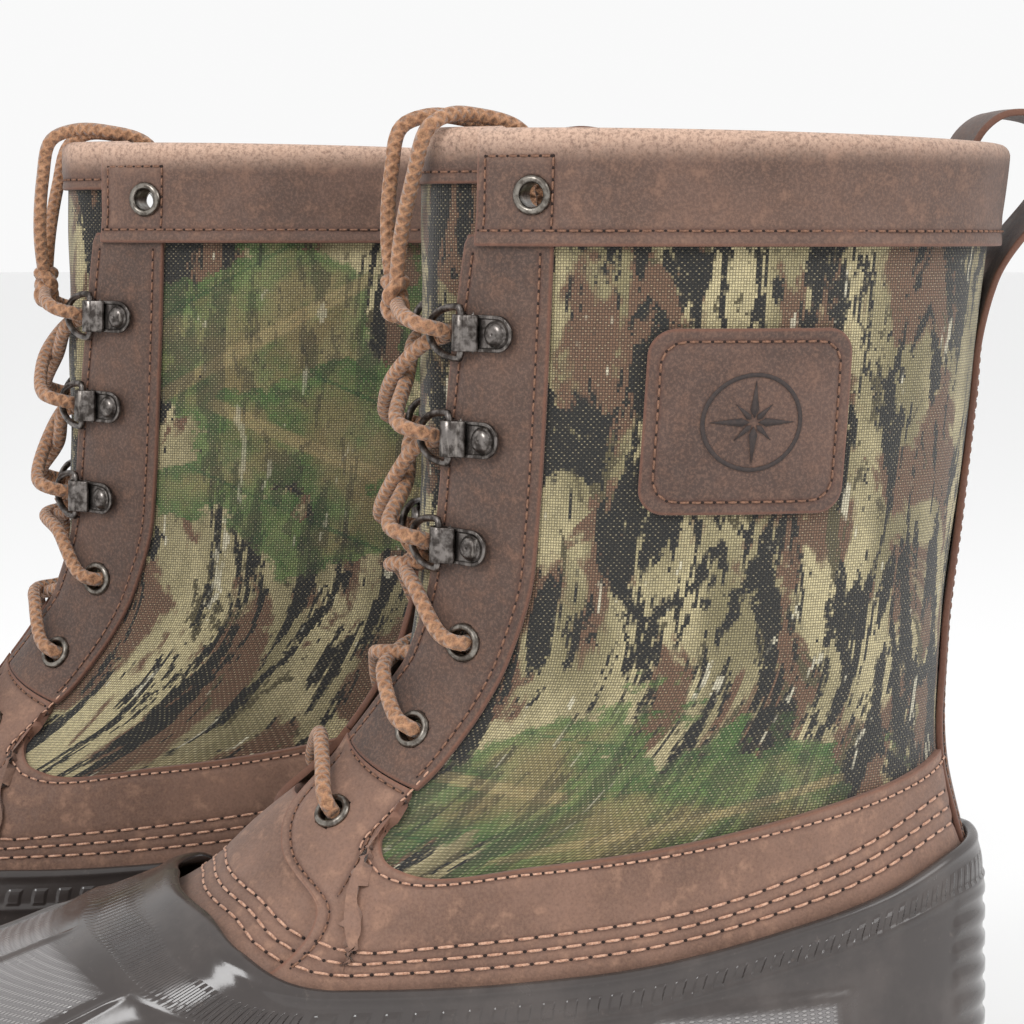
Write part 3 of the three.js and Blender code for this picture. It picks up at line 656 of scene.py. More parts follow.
# %% Braided cord
def cord_finish(name, pale, brown, fleck):
    cord = Finish(name, 0.85, Sheen_Weight=0.3)
    axes = cord.split(cord.attribute("braid", "Vector"))
    turn = cord.calc("ARCTAN2", axes["Z"], axes["Y"])
    run = cord.calc("MULTIPLY", axes["X"], 2 * math.pi / 0.0029)
    rising = cord.calc("SINE", cord.calc("ADD", run, cord.calc("MULTIPLY", turn, 3.0)))
    falling = cord.calc("SINE", cord.calc("SUBTRACT", run, cord.calc("MULTIPLY", turn, 3.0)))
    strands = cord.calc("MAXIMUM", rising, falling)
    fibre = cord.noise(2600.0, detail=3.0, rough=0.7)
    tone = cord.noise(500.0, detail=3.0)
    colour = cord.mix(cord.ramp(tone, 0.35, 0.65), brown, pale)
    crossed = cord.calc("MULTIPLY", rising, falling)
    colour = cord.mix(cord.ramp(crossed, -0.75, -0.25, 0.35, 0.0), colour, fleck)
    # painted shade in the gaps between the strands
    colour = cord.mix(cord.ramp(strands, 0.0, 0.6, 0.45, 0.0), colour, srgb(88, 58, 40))
    cord.colour(cord.mix(cord.ramp(fibre, 0.4, 0.65, 0.0, 0.35), colour, srgb(206, 158, 112)))
    cord.bump(cord.calc("ADD", strands, cord.calc("MULTIPLY", fibre, 0.5)), 0.45, 0.9)
    return cord.material


lace_braid = cord_finish("braided_lace", srgb(176, 130, 98), srgb(146, 102, 74), srgb(104, 70, 50))

# %% Thread, stitch holes, tips and felt
def plain_finish(name, base, other, roughness, grain, relief, **fixed):
    plain = Finish(name, roughness, **fixed)
    grains = plain.noise(grain, detail=5.0, rough=0.7)
    plain.colour(plain.mix(plain.ramp(grains, 0.35, 0.65), base, other))
    plain.bump(grains, relief, 0.8)
    return plain.material


brown_thread = plain_finish("brown_thread", srgb(96, 66, 50), srgb(138, 100, 78), 0.7, 1400.0, 0.12)
tan_thread = plain_finish("tan_thread", srgb(158, 112, 88), srgb(206, 164, 138), 0.6, 1400.0, 0.12, Sheen_Weight=0.2)
# needle holes: a dark dimple as painted shade inside each hole
needle_hole_shade = plain_finish("needle_hole_shade", srgb(30, 18, 14), srgb(44, 27, 20), 0.9, 900.0, 0.05)
felt_wool = plain_finish("wool_felt", srgb(168, 162, 148), srgb(204, 199, 187), 0.97, 620.0, 0.5, Sheen_Weight=0.5)
tip_plastic = plain_finish("lace_tip", srgb(60, 38, 28), srgb(78, 50, 36), 0.3, 300.0, 0.02)
stamp_ink = plain_finish("stamped_ink", srgb(42, 35, 34), srgb(58, 46, 42), 0.7, 1100.0, 0.08)
print("finishes made")

# %% [markdown]
# ## Panels laid on the boot
# A pattern piece starts as a flat grid, as it does on a cutting table. Each of its points is moved to its
# place on the boot's surface, and the sheet gets the thickness of its leather from Solidify and a
# rounded cut edge from Bevel. The grid is fine enough for the stitches to pull real grooves into it.

# %% Points near a line
def tree_of(points):
    tree = KDTree(len(points))
    for i, point in enumerate(points):
        tree.insert(Vector(point), i)
    tree.balance()
    return tree


def distances(points, others):
    if len(others) == 0:
        return np.full(len(points), 99.0)
    tree = tree_of(others)
    return np.array([tree.find(Vector(point))[2] for point in points])


# %% A sheet laid on the boot
def on_boot(place):
    """Turns a place(u, v) that gives s, z and depth into points, outward directions and cloth millimetres."""
    def laid(u, v):
        s, z, depth = (np.broadcast_to(k, len(u)).astype(float) for k in place(u, v))
        return lay(s, z, depth), skin_normal(s, z), np.stack([around(s), z, 0 * z], axis=1)

    return laid


def sheet_mesh(boot, laid, columns, rows, stitched=(), holes=(), relief=None, wrap=False):
    """A grid moved to its place on the boot, with its outside facing out and round holes left open."""
    bm = bmesh.new()
    bmesh.ops.create_grid(bm, x_segments=columns, y_segments=rows, size=0.5)
    spots = np.array([vert.co[:2] for vert in bm.verts]) + 0.5
    flat, out, cloth_mm = laid(spots[:, 0], spots[:, 1])
    rim = np.minimum(spots[:, 1], 1 - spots[:, 1])
    if not wrap:
        rim = np.minimum(rim, np.minimum(spots[:, 0], 1 - spots[:, 0]))
    edge = distances(flat, flat[rim < 1e-5])
    seams = np.concatenate(stitched) if len(stitched) else np.zeros((0, 3))
    groove = np.exp(-((distances(flat, seams) / 1.15) ** 2))
    stand = -0.34 * groove
    if relief is not None:
        stand = stand + relief(cloth_mm[:, 0], cloth_mm[:, 1])
    points = world(boot, flat + out * stand[:, None])
    above = world(boot, flat + out * (stand[:, None] + 1))
    cloth_layer = bm.verts.layers.float_vector.new("cloth")
    edge_layer = bm.verts.layers.float.new("edge")
    groove_layer = bm.verts.layers.float.new("groove")
    for i, vert in enumerate(bm.verts):
        vert.co = points[i]
        vert[cloth_layer] = cloth_mm[i] / 1000
        vert[edge_layer] = edge[i]
        vert[groove_layer] = groove[i]
    bm.normal_update()
    # a folded sheet is judged by its outer leg only
    facing = sum(
        vert.normal.dot(Vector(above[i] - points[i])) for i, vert in enumerate(bm.verts) if spots[i, 1] < 0.35
    )
    if facing < 0:
        bmesh.ops.reverse_faces(bm, faces=bm.faces[:])
    inside = np.zeros(len(flat), bool)
    for centre, radius in holes:
        inside |= np.linalg.norm(flat - centre, axis=1) < radius
    doomed = [vert for vert, gone in zip(bm.verts, inside) if gone]
    bmesh.ops.delete(bm, geom=doomed, context="VERTS")
    if wrap:
        bmesh.ops.remove_doubles(bm, verts=bm.verts[:], dist=1e-5)
    return bm


def thicken(piece, wall, rounding=0.0005):
    """Solidify inwards by the wall in millimetres, then round the cut edges."""
    shell = piece.modifiers.new("wall", "SOLIDIFY")
    shell.thickness = wall / 1000
    shell.offset = -1
    shell.use_even_offset = False
    edge = piece.modifiers.new("cut_edge", "BEVEL")
    edge.width = rounding
    edge.segments = 2
    edge.limit_method = "ANGLE"
    edge.angle_limit = math.radians(55)


# %% [markdown]
# ## Where the stitches run
# Each seam is a line on the surface. The heavy rows over the rubber's rim are lockstitch 5 mm long, and
# the fine rows along the edges are 3 mm. The rows are worked out before the panels, because a panel
# reads them for its grooves, and the stitches themselves are laid along them at the end.

# %% Stitch rows of one side
def row(s, z, depth=leather):
    """Points of a seam with the way out at each, six numbers a point."""
    s, z, depth = np.broadcast_arrays(*(np.asarray(v, float) for v in (s, z, depth)))
    return np.concatenate([lay(s, z, depth), skin_normal(s, z)], axis=1)


def above_rubber(s, distance):
    base = rubber_line(np.abs(s))
    return base + climb(s, base, distance)


def quarter_rows(side):
    """Three heavy rows over the rim, the row along the seam with the vamp, and the rest of the quarter."""
    rows = []
    for distance in (5.5, 10.2, 15.0):
        s = np.linspace(0.30, 0.945, 400)
        z = above_rubber(s, distance)
        keep = (s > vamp_seam(z) + spread(s, z, 2.5)) & (s < strap_edge(z) - spread(s, z, 2.0))
        rows.append(("heavy", row(side * s[keep], z[keep])))
    z = np.linspace(73, 118, 120)
    s = vamp_seam(z) + spread(vamp_seam(z), z, 3.2)
    rows.append(("fine", row(side * s, z)))
    t = np.linspace(0, 1, 60)
    rows.append(("fine", row(side * lerp(0.085, 0.245, t), lerp(119.5, 112.0, t))))
    rows.append(("fine", row(side * lerp(0.263, 0.338, t), lerp(104.0, 88.5, t))))
    s = np.linspace(0.315, 0.93, 400)
    z = quarter_top(s) - climb(s, quarter_top(s), 3.4)
    start_s, start_z = s[0], z[0]
    corner = smooth_line([
        [0.2500, 118, 0], [0.2535, 112, 0], [0.262, 105.2, 0], [0.282, 98.9, 0], [start_s, start_z, 0],
    ], 0.4)
    s = np.concatenate([corner[:, 0], s[1:]])
    z = np.concatenate([corner[:, 1], z[1:]])
    rows.append(("pale", row(side * s, z)))
    return rows


def eyestay_rows(side):
    z = np.linspace(116, 248, 300)
    back_row = stay_back(z) - spread(stay_back(z), z, 3.2)
    z_front = np.linspace(121, 248, 300)
    front_row = stay_front(z_front) + spread(stay_front(z_front), z_front, 3.0)
    return [("fine", row(side * back_row, z)), ("fine", row(side * front_row, z_front))]


def vamp_rows():
    rows = []
    for distance in (5.2, 9.8, 14.6):
        s = np.linspace(-0.40, 0.40, 500)
        z = above_rubber(s, distance)
        keep = np.abs(s) < vamp_seam(z) - spread(s, z, 1.6)
        rows.append(("heavy", row(s[keep], z[keep], -0.1)))
    return rows


# %% The collar's shape and its rows
def collar_depth(z):
    """The outer leg lies over the eyestay at its lower edge and closes on the canvas above it."""
    return lerp(3.5, 2.5, smooth((z - 250) / 9))


def collar_drop(s):
    return 3.2 * smooth((np.abs(s) - 0.2) / 0.8)


def collar_rows():
    rows = []
    s = np.linspace(0.205, 1.795, 900)
    folded = np.where(s > 1, s - 2, s)
    z = np.full_like(s, 253.8)
    rows.append(("fine", row(folded, z, collar_depth(z))))
    for side in (1, -1):
        height = np.linspace(254.5, 272, 60)
        for place in (0.212, 0.296):
            rows.append(("fine", row(side * place, height, collar_depth(height))))
        s = np.linspace(0.214, 0.294, 80)
        rows.append(("fine", row(side * s, 272.0, collar_depth(272.0))))
    return rows


# %% Patch and strap rows
patch_s, patch_z, patch_width, patch_height = 0.512, 207.0, 50.0, 46.0


def patch_spot(across, up):
    z = patch_z + up
    return patch_s + spread(patch_s, z, across), z


def rounded_outline(width, height, radius, count=200):
    angles = np.linspace(0, 2 * np.pi, count, endpoint=False)
    corner_x, corner_y = width / 2 - radius, height / 2 - radius
    across = np.sign(np.cos(angles)) * corner_x + radius * np.cos(angles)
    up = np.sign(np.sin(angles)) * corner_y + radius * np.sin(angles)
    outline = np.stack([across, up], axis=1)
    outline = np.concatenate([outline, outline[:1]])
    along = np.concatenate([[0], np.cumsum(np.linalg.norm(np.diff(outline, axis=0), axis=1))])
    places = np.linspace(0, along[-1], count * 2)
    return np.stack([np.interp(places, along, outline[:, k]) for k in (0, 1)], axis=1)


def patch_rows():
    outline = rounded_outline(patch_width - 6.4, patch_height - 6.4, 5.5)
    s, z = patch_spot(outline[:, 0], outline[:, 1])
    return [("fine", row(s, z, leather))]


boot_rows = {
    "collar": collar_rows(), "patch": patch_rows(), "vamp": vamp_rows(),
    **{f"quarter{side}": quarter_rows(side) for side in (1, -1)},
    **{f"eyestay{side}": eyestay_rows(side) for side in (1, -1)},
}
print(sum(len(rows) for rows in boot_rows.values()), "stitch rows a boot")


def seams_of(name):
    return [points[:, :3] for kind, points in boot_rows[name]]


# %% [markdown]
# ## The leather and canvas panels
# The vamp goes on first. The quarters lap over it, the eyestays over the canvas, and the collar over all
# of them, each by a few millimetres. A faint waviness keeps the sheets from looking pressed from metal.

# %% Waviness of a sewn sheet
def ripple(amount, pitch, lean=0.6):
    def relief(length, z):
        waves = np.sin(length / pitch + lean * z / pitch) * np.sin(z / (pitch * 1.7) - 0.4 * length / pitch)
        return amount * (waves + 0.5 * np.sin(length / (pitch * 0.43) + 1.3) * np.sin(z / (pitch * 0.61)))

    return relief


# %% Vamp
def vamp_place(u, v):
    lean = 2 * u - 1
    low = leather_bottom(lean * vamp_seam(75.0))
    z = lerp(low, 108, v)
    return lean * (vamp_seam(z) + spread(vamp_seam(z), z, 5.0)), z, -0.15


for boot in boots:
    bm = sheet_mesh(boot, on_boot(vamp_place), 150, 44, seams_of("vamp"), relief=ripple(0.18, 11.0))
    vamp = make_piece(f"{boot}_vamp_leather", bm, vamp_leather, f"{boot}_boot", [f"{boot}_vamp"])
    thicken(vamp, leather)
    tell(vamp)


# %% Quarters
def quarter_place(side):
    def place(u, v):
        facing = 0.2
        top_front = lerp(0.03, 0.25, u / facing)
        top_back = lerp(0.25, strap_edge(100.0) - 0.02, (u - facing) / (1 - facing))
        top_s = np.where(u < facing, top_front, top_back)
        top_z = np.where(u < facing, lerp(122.5, 113, u / facing), quarter_top(top_s))
        low_s = lerp(vamp_seam(66.0), strap_edge(80.0) - 0.02, u)
        front_z = lerp(leather_bottom(vamp_seam(66.0)), 122.5, v)
        bow = (vamp_seam(front_z) - lerp(vamp_seam(66.0), 0.03, v)) * (1 - u) ** 4
        return side * (lerp(low_s, top_s, v) + bow), lerp(leather_bottom(low_s), top_z, v), leather

    return place


sides = {"lateral": 1, "medial": -1}
for boot in boots:
    for word, side in sides.items():
        rows = seams_of(f"quarter{side}")
        holes = [(lay(side * eyelets[0][0], eyelets[0][1], leather), 3.6)]
        bm = sheet_mesh(boot, on_boot(quarter_place(side)), 210, 42, rows, holes, ripple(0.15, 14.0))
        node = f"{boot}_{word}_quarter"
        quarter = make_piece(f"{node}_leather", bm, vamp_leather, f"{boot}_boot", [node])
        thicken(quarter, leather)
        tell(quarter)


# %% Eyestays
def eyestay_place(side):
    def place(u, v):
        z = lerp(lerp(122.5, 113, u), 253.0, v)
        depth = leather - 1.1 * smooth((z - 250) / 3)
        return side * lerp(stay_front(z), stay_back(z), u), z, depth

    return place


for boot in boots:
    for word, side in sides.items():
        holes = [(lay(side * s, z, leather), 3.6) for s, z in eyelets[1:]]
        seams = seams_of(f"eyestay{side}")
        bm = sheet_mesh(boot, on_boot(eyestay_place(side)), 28, 112, seams, holes, ripple(0.12, 10.0))
        node = f"{boot}_{word}_eyestay"
        eyestay = make_piece(f"{node}_leather", bm, brown_leather, f"{boot}_boot", [node])
        thicken(eyestay, leather)
        tell(eyestay)


# %% Canvas
def canvas_place(side):
    def place(u, v):
        rough_z = lerp(104, 256, v)
        s = lerp(stay_back(rough_z) - 0.02, 0.985, u)
        return side * s, lerp(quarter_top(s) - 7, 256, v), -0.05

    return place


for boot in boots:
    for word, side in sides.items():
        bm = sheet_mesh(boot, on_boot(canvas_place(side)), 90, 96, relief=ripple(0.4, 16.0))
        node = f"{boot}_{word}_canvas"
        print_used = near_canvas if side > 0 else far_canvas
        panel = make_piece(f"{node}_cloth", bm, print_used, f"{boot}_boot", [node])
        thicken(panel, 1.2, 0.0003)


# %% Collar
def collar_place(u, v):
    s = lerp(0.2, 1.8, u)
    drop = collar_drop(np.where(s > 1, 2 - s, s))
    radius, middle, crown = 3.05, -0.55, shaft_top - 3.05
    outer, inner = v < 0.42, v > 0.58
    angle = np.pi * (v - 0.42) / 0.16
    z = np.where(outer, lerp(collar_bottom, crown, v / 0.42), crown + radius * np.sin(np.clip(angle, 0, np.pi)))
    z = np.where(inner, lerp(crown, collar_bottom + 1, (v - 0.58) / 0.42), z)
    depth = np.where(outer, collar_depth(z), middle + radius * np.cos(np.clip(angle, 0, np.pi)))
    depth = np.where(inner, middle - radius, depth)
    z = z - drop * smooth((z - 251) / 24)
    return np.where(s > 1, s - 2, s), z, depth


for boot in boots:
    through = [(side, depth) for side in (1, -1) for depth in (2.5, -3.6)]
    holes = [(lay(side * collar_eyelet[0], collar_eyelet[1], depth), 3.6) for side, depth in through]
    bm = sheet_mesh(boot, on_boot(collar_place), 300, 58, seams_of("collar"), holes, ripple(0.2, 9.0))
    node = f"{boot}_collar"
    collar = make_piece(f"{node}_leather", bm, collar_leather, f"{boot}_boot", [node])
    thicken(collar, 1.5)
    tell(collar)

# %% [markdown]
# ## Backstay and pull loop
# One strap covers the heel seam, leaves the shaft under the collar and is turned over into the shaft,
# so that it makes the loop the boot is pulled on by. It follows one line with a constant width.

# %% Backstay
strap_leave = 241.0


def strap_middle():
    rising = [lay(1.0, lerp(leather_bottom(1.0), strap_leave, t), 0.0) for t in np.linspace(0, 1, 6)]
    crest = skin_point(1.0, shaft_top)
    loop = [[-11, -17], [-18, -9], [-15, 0.5], [-6, 4], [2, 3.4], [8.2, -3], [8.6, -14]]
    return smooth_line(rising + [np.array([crest[0] + x, 0, crest[2] + z]) for x, z in loop], 0.5)


strap_line = strap_middle()
strap_turn = unit(np.gradient(strap_line, axis=0))


def strap_laid(u, v):
    places = v * (len(strap_line) - 1)
    count = np.arange(len(strap_line))
    point = np.stack([np.interp(places, count, strap_line[:, k]) for k in range(3)], axis=1)
    along = unit(np.stack([np.interp(places, count, strap_turn[:, k]) for k in range(3)], axis=1))
    reach = (u - 0.5) * 2 * strap_half
    low = np.minimum(point[:, 2], strap_leave)
    curved = skin_point(1 - spread(1.0, low, np.abs(reach)), low)[:, 0] - skin_point(1.0, low)[:, 0]
    on_shaft = np.where(v < 0.8, 1 - smooth((point[:, 2] - strap_leave + 22) / 22), 0)
    out = np.stack([-along[:, 2], 0 * v, along[:, 0]], axis=1)
    tilt = unit(out + np.stack([0 * v, 0.5 * reach / strap_half * on_shaft, 0 * v], axis=1))
    cloth = np.stack([reach, v * len(strap_line) * 0.5, 0 * v], axis=1)
    moved = point + np.stack([curved * on_shaft, reach, 0 * v], axis=1) + out * (leather + 0.25)
    return moved, tilt, cloth


def strap_rows():
    rows = []
    for u in (0.105, 0.895):
        v = np.linspace(0.03, 0.63, 500)
        points, out, cloth = strap_laid(np.full_like(v, u), v)
        rows.append(("fine", np.concatenate([points, out], axis=1)))
    return rows


boot_rows["strap"] = strap_rows()
for boot in boots:
    bm = sheet_mesh(boot, strap_laid, 20, 200, seams_of("strap"), relief=ripple(0.12, 8.0))
    node = f"{boot}_backstay"
    strap = make_piece(f"{node}_strap", bm, strap_leather, f"{boot}_boot", [node])
    thicken(strap, leather)
    tell(strap)

# %% [markdown]
# ## Patch
# A leather patch with rounded corners is stitched to the shaft's outer side. It is stamped with a plain
# compass star: a thin ring and eight points, in dark ink.

# %% Patch
def patch_laid(u, v):
    """A square grid pulled into a rectangle with rounded corners."""
    across, up = 2 * u - 1, 2 * v - 1
    radius = 6.5
    half = np.array([patch_width / 2, patch_height / 2])
    x, y = across * half[0], up * half[1]
    inner = half - radius
    over = np.stack([np.maximum(np.abs(x) - inner[0], 0), np.maximum(np.abs(y) - inner[1], 0)])
    reach = np.maximum(over.max(axis=0), 1e-9) / np.maximum(np.hypot(*over), 1e-9)
    x = np.sign(x) * (np.minimum(np.abs(x), inner[0]) + over[0] * reach)
    y = np.sign(y) * (np.minimum(np.abs(y), inner[1]) + over[1] * reach)
    s, z = patch_spot(x, y)
    return lay(s, z, leather), skin_normal(s, z), np.stack([around(s), z, 0 * z], axis=1)


for boot in boots:
    bm = sheet_mesh(boot, patch_laid, 60, 56, seams_of("patch"), relief=ripple(0.08, 9.0))
    node = f"{boot}_patch"
    patch = make_piece(f"{node}_leather", bm, strap_leather, f"{boot}_boot", [node])
    thicken(patch, leather)
    tell(patch)


# %% Compass star
def star_mesh(boot):
    bm = bmesh.new()
    for radius in (12.2, 11.2):
        bmesh.ops.create_circle(bm, segments=64, radius=radius)
    bmesh.ops.bridge_loops(bm, edges=bm.edges[:])
    for turn in range(8):
        long = 10.2 if turn % 2 == 0 else 6.4
        wide = 2.1 if turn % 2 == 0 else 1.5
        kite = bmesh.ops.create_circle(bm, cap_ends=True, segments=4, radius=1.0)
        corners = sorted(kite["verts"], key=lambda vert: (round(vert.co.x, 3), round(vert.co.y, 3)))
        left_corner, low_corner, high_corner, right_corner = corners
        left_corner.co = (-wide / 2, long * 0.3, 0)
        right_corner.co = (wide / 2, long * 0.3, 0)
        low_corner.co = (0, 1.0, 0)
        high_corner.co = (0, long, 0)
        round_star = Matrix.Rotation(turn * math.pi / 4, 3, "Z")
        bmesh.ops.rotate(bm, verts=kite["verts"], cent=(0, 0, 0), matrix=round_star)
    bmesh.ops.subdivide_edges(bm, edges=bm.edges[:], cuts=1, use_grid_fill=True)
    x, y = np.array([vert.co[:2] for vert in bm.verts]).T
    s, z = patch_spot(x, y)
    for vert, point in zip(bm.verts, world(boot, lay(s, z, leather + 0.16))):
        vert.co = point
    bm.normal_update()
    return bm


for boot in boots:
    star = make_piece(f"{boot}_patch_star", star_mesh(boot), stamp_ink, f"{boot}_boot")
    ink = star.modifiers.new("ink", "SOLIDIFY")
    ink.thickness = 0.0002
    ink.offset = 0
    tell(star)

# %% [markdown]
# ## Tongue and its binding
# The canvas tongue lies under the eyestays and stands a little over the collar. Its top edge is bound
# with a strip of leather folded over it. Both tilt with the tongue's own body.

# %% Tongue
def tongue_place(u, v):
    s, z = lerp(-0.2, 0.2, u), lerp(104, 276.5, v)
    return s, z, tongue_depth(s, z)


for boot in boots:
    bm = sheet_mesh(boot, on_boot(tongue_place), 44, 130, relief=ripple(0.35, 9.0))
    node = f"{boot}_tongue"
    tongue = make_piece(f"{node}_cloth", bm, far_canvas, f"{node}_body", [node])
    thicken(tongue, 2.0, 0.0003)


# %% Tongue binding
def binding_place(u, v):
    s = lerp(-0.2, 0.2, u)
    radius, crown, low = 2.9, 276.9, 265.5
    middle = tongue_depth(s, 279.0) - 1.0
    outer, inner = v < 0.38, v > 0.62
    angle = np.clip(np.pi * (v - 0.38) / 0.24, 0, np.pi)
    z = np.where(outer, lerp(low, crown, v / 0.38), crown + radius * np.sin(angle))
    z = np.where(inner, lerp(crown, low, (v - 0.62) / 0.38), z)
    return s, z, middle + radius * np.cos(angle)


def binding_rows():
    s = np.linspace(-0.19, 0.19, 300)
    return [("fine", row(s, 268.5, tongue_depth(s, 279.0) + 1.9))]


boot_rows["binding"] = binding_rows()
for boot in boots:
    bm = sheet_mesh(boot, on_boot(binding_place), 50, 34, seams_of("binding"), relief=ripple(0.12, 5.0))
    node = f"{boot}_tongue_binding"
    binding = make_piece(f"{node}_leather", bm, collar_leather, f"{boot}_tongue_body", [node])
    thicken(binding, 1.2)
    tell(binding)

# %% [markdown]
# ## Stitches
# One stitch is a short six-sided thread that dives into the leather at both ends, and each needle hole is
# a dimple coloured dark as painted shade. Both are modelled once and laid along every row, turned to the seam and
# the surface.

# %% One stitch and one needle hole
def stitch_template():
    bm = bmesh.new()
    bmesh.ops.create_cone(bm, cap_ends=True, segments=6, radius1=1, radius2=1, depth=1)
    long_edges = [e for e in bm.edges if abs(e.verts[0].co.z - e.verts[1].co.z) > 0.5]
    bmesh.ops.subdivide_edges(bm, edges=long_edges, cuts=4)
    bmesh.ops.rotate(bm, verts=bm.verts[:], cent=(0, 0, 0), matrix=Matrix.Rotation(math.pi / 2, 3, "Y"))
    for vert in bm.verts:
        end = abs(2 * vert.co.x) ** 3
        vert.co.y *= 0.34 * (1 - 0.45 * end)
        vert.co.z = vert.co.z * 0.3 * (1 - 0.45 * end) + 0.16 - 0.5 * end
    mesh = bpy.data.meshes.new("stitch")
    bm.to_mesh(mesh)
    bm.free()
    return mesh


def hole_template():
    bm = bmesh.new()
    bmesh.ops.create_icosphere(bm, subdivisions=1, radius=1)
    bmesh.ops.scale(bm, verts=bm.verts[:], vec=(0.5, 0.42, 0.24))
    mesh = bpy.data.meshes.new("needle_hole_shade")
    bm.to_mesh(mesh)
    bm.free()
    return mesh


def scatter(template, matrices):
    """Copies of one small mesh, each moved by its matrix."""
    bm = bmesh.new()
    for matrix in matrices:
        template.transform(matrix)
        bm.from_mesh(template)
        template.transform(matrix.inverted())
    return bm


# %% Stitches along the rows
def frame_at(boot, point, along, out, size):
    """A matrix with x along the seam, z out of the leather and the given size in millimetres."""
    spot = world(boot, point)
    x = world(boot, point + along) - spot
    z = world(boot, point + out) - spot
    z = z - x * np.dot(x, z) / np.dot(x, x)
    x, z = x / np.linalg.norm(x), z / np.linalg.norm(z)
    y = np.cross(z, x)
    axes = np.stack([x * size[0], y * size[1], z * size[2]], axis=1) / 1000
    matrix = Matrix.Identity(4)
    for i in range(3):
        matrix[i][:3] = axes[i]
        matrix[i][3] = spot[i]
    return matrix


def stitches_of(boot, names, tones):
    threads, needles = [], []
    for name in names:
        for kind, points in boot_rows[name]:
            if kind not in tones:
                continue
            pitch, size = (5.0, 1.15) if kind == "heavy" else (3.0, 0.92)
            along = np.concatenate([[0], np.cumsum(np.linalg.norm(np.diff(points[:, :3], axis=0), axis=1))])
            count = max(1, round(along[-1] / pitch))
            places = np.linspace(0, along[-1], count + 1)
            spots = np.stack([np.interp(places, along, points[:, k]) for k in range(6)], axis=1)
            length = along[-1] / count
            lift = -0.22
            for a, b in zip(spots, spots[1:]):
                middle = (a + b) / 2
                spot = middle[:3] + unit(middle[3:]) * lift
                threads.append(frame_at(boot, spot, unit(b[:3] - a[:3]), middle[3:], (length * 0.9, size, size)))
            for i, a in enumerate(spots):
                b = spots[min(i + 1, count)] - spots[max(i - 1, 0)]
                spot = a[:3] + unit(a[3:]) * (lift - 0.05)
                needles.append(frame_at(boot, spot, unit(b[:3]), a[3:], (size, size, 1.0)))
    return threads, needles


stitch, needle = stitch_template(), hole_template()
threads_used = {"tan": (tan_thread, ("heavy", "pale")), "brown": (brown_thread, ("fine",))}
for boot in boots:
    for part, body in (("boot", f"{boot}_boot"), ("tongue", f"{boot}_tongue_body")):
        names = ["binding"] if part == "tongue" else [name for name in boot_rows if name != "binding"]
        for tone, (thread, kinds) in threads_used.items():
            threads, needles = stitches_of(boot, names, kinds)
            if threads:
                kept = f"{boot}_{part}_{tone}"
                sewn = make_piece(f"{kept}_stitches", scatter(stitch, threads), thread, body)
                make_piece(f"{kept}_needle_holes", scatter(needle, needles), needle_hole_shade, body)
                print(sewn.name, len(threads), "stitches,", len(sewn.data.polygons), "faces")

# %% [markdown]
# ## Eyelets and D-rings
# An eyelet is a brass tube rolled over on the outside: a profile spun once round its axis. A clip is a
# strip of sheet metal folded round the ring's straight bar and riveted through the leather, and the ring
# is one wire bent to a D. The ring rides on its own body, because it swings in the clip.

# %% Placing hardware
def set_down(bm, boot, side, origin, axes):
    """Moves a shape made in millimetres round its own origin to a frame on the boot."""
    spots = np.array([vert.co for vert in bm.verts])
    placed = world(boot, (origin + spots @ axes) * [1, side, 1])
    for vert, point in zip(bm.verts, placed):
        vert.co = point
    if side * boots[boot][0] < 0:
        bmesh.ops.reverse_faces(bm, faces=bm.faces[:])
    return bm


def surface_frame(s, z, depth):
    out = skin_normal(s, z)
    up = unit(skin_point(s, z + 1) - skin_point(s, z - 1))
    return lay(s, z, depth), np.stack([up, np.cross(out, up), out])


def spun(outline, steps, closed):
    """A profile of radius and height spun into a ring round z."""
    bm = bmesh.new()
    verts = [bm.verts.new((radius, 0, height)) for radius, height in outline]
    pairs = list(zip(verts, verts[1:])) + ([(verts[-1], verts[0])] if closed else [])
    edges = [bm.edges.new(pair) for pair in pairs]
    bmesh.ops.spin(
        bm, geom=verts + edges, axis=(0, 0, 1), cent=(0, 0, 0), angle=2 * math.pi, steps=steps, use_merge=True,
    )
    bmesh.ops.remove_doubles(bm, verts=bm.verts[:], dist=1e-4)
    bmesh.ops.recalc_face_normals(bm, faces=bm.faces[:])
    return bm


def joined(shapes):
    """Several bmeshes as one."""
    whole = bmesh.new()
    for shape in shapes:
        carrier = bpy.data.meshes.new("carrier")
        shape.to_mesh(carrier)
        shape.free()
        whole.from_mesh(carrier)
        bpy.data.meshes.remove(carrier)
    return whole


# %% Eyelets
def eyelet_mesh(deep):
    return spun([
        (3.05, -deep), (3.05, 0.35), (3.25, 0.85), (3.7, 1.15), (4.25, 1.12), (4.75, 0.75), (5.0, 0.2),
        (4.95, -0.25), (4.5, -0.3), (3.5, -0.3), (3.45, -deep),
    ], 32, True)


for boot in boots:
    shapes = []
    for side in (1, -1):
        for s, z in eyelets:
            shapes.append(set_down(eyelet_mesh(2.1), boot, side, *surface_frame(s, z, leather)))
        shapes.append(set_down(eyelet_mesh(6.6), boot, side, *surface_frame(*collar_eyelet, 2.6)))
        inner_frame = surface_frame(*collar_eyelet, -3.8)
        shapes.append(set_down(spun([
            (3.5, -0.2), (3.7, -0.6), (4.2, -0.7), (4.7, -0.4), (4.9, 0.1), (3.5, 0.1),
        ], 32, True), boot, side, *inner_frame))
    ring_set = make_piece(f"{boot}_eyelets", joined(shapes), eyelet_metal, f"{boot}_boot")
    tell(ring_set)


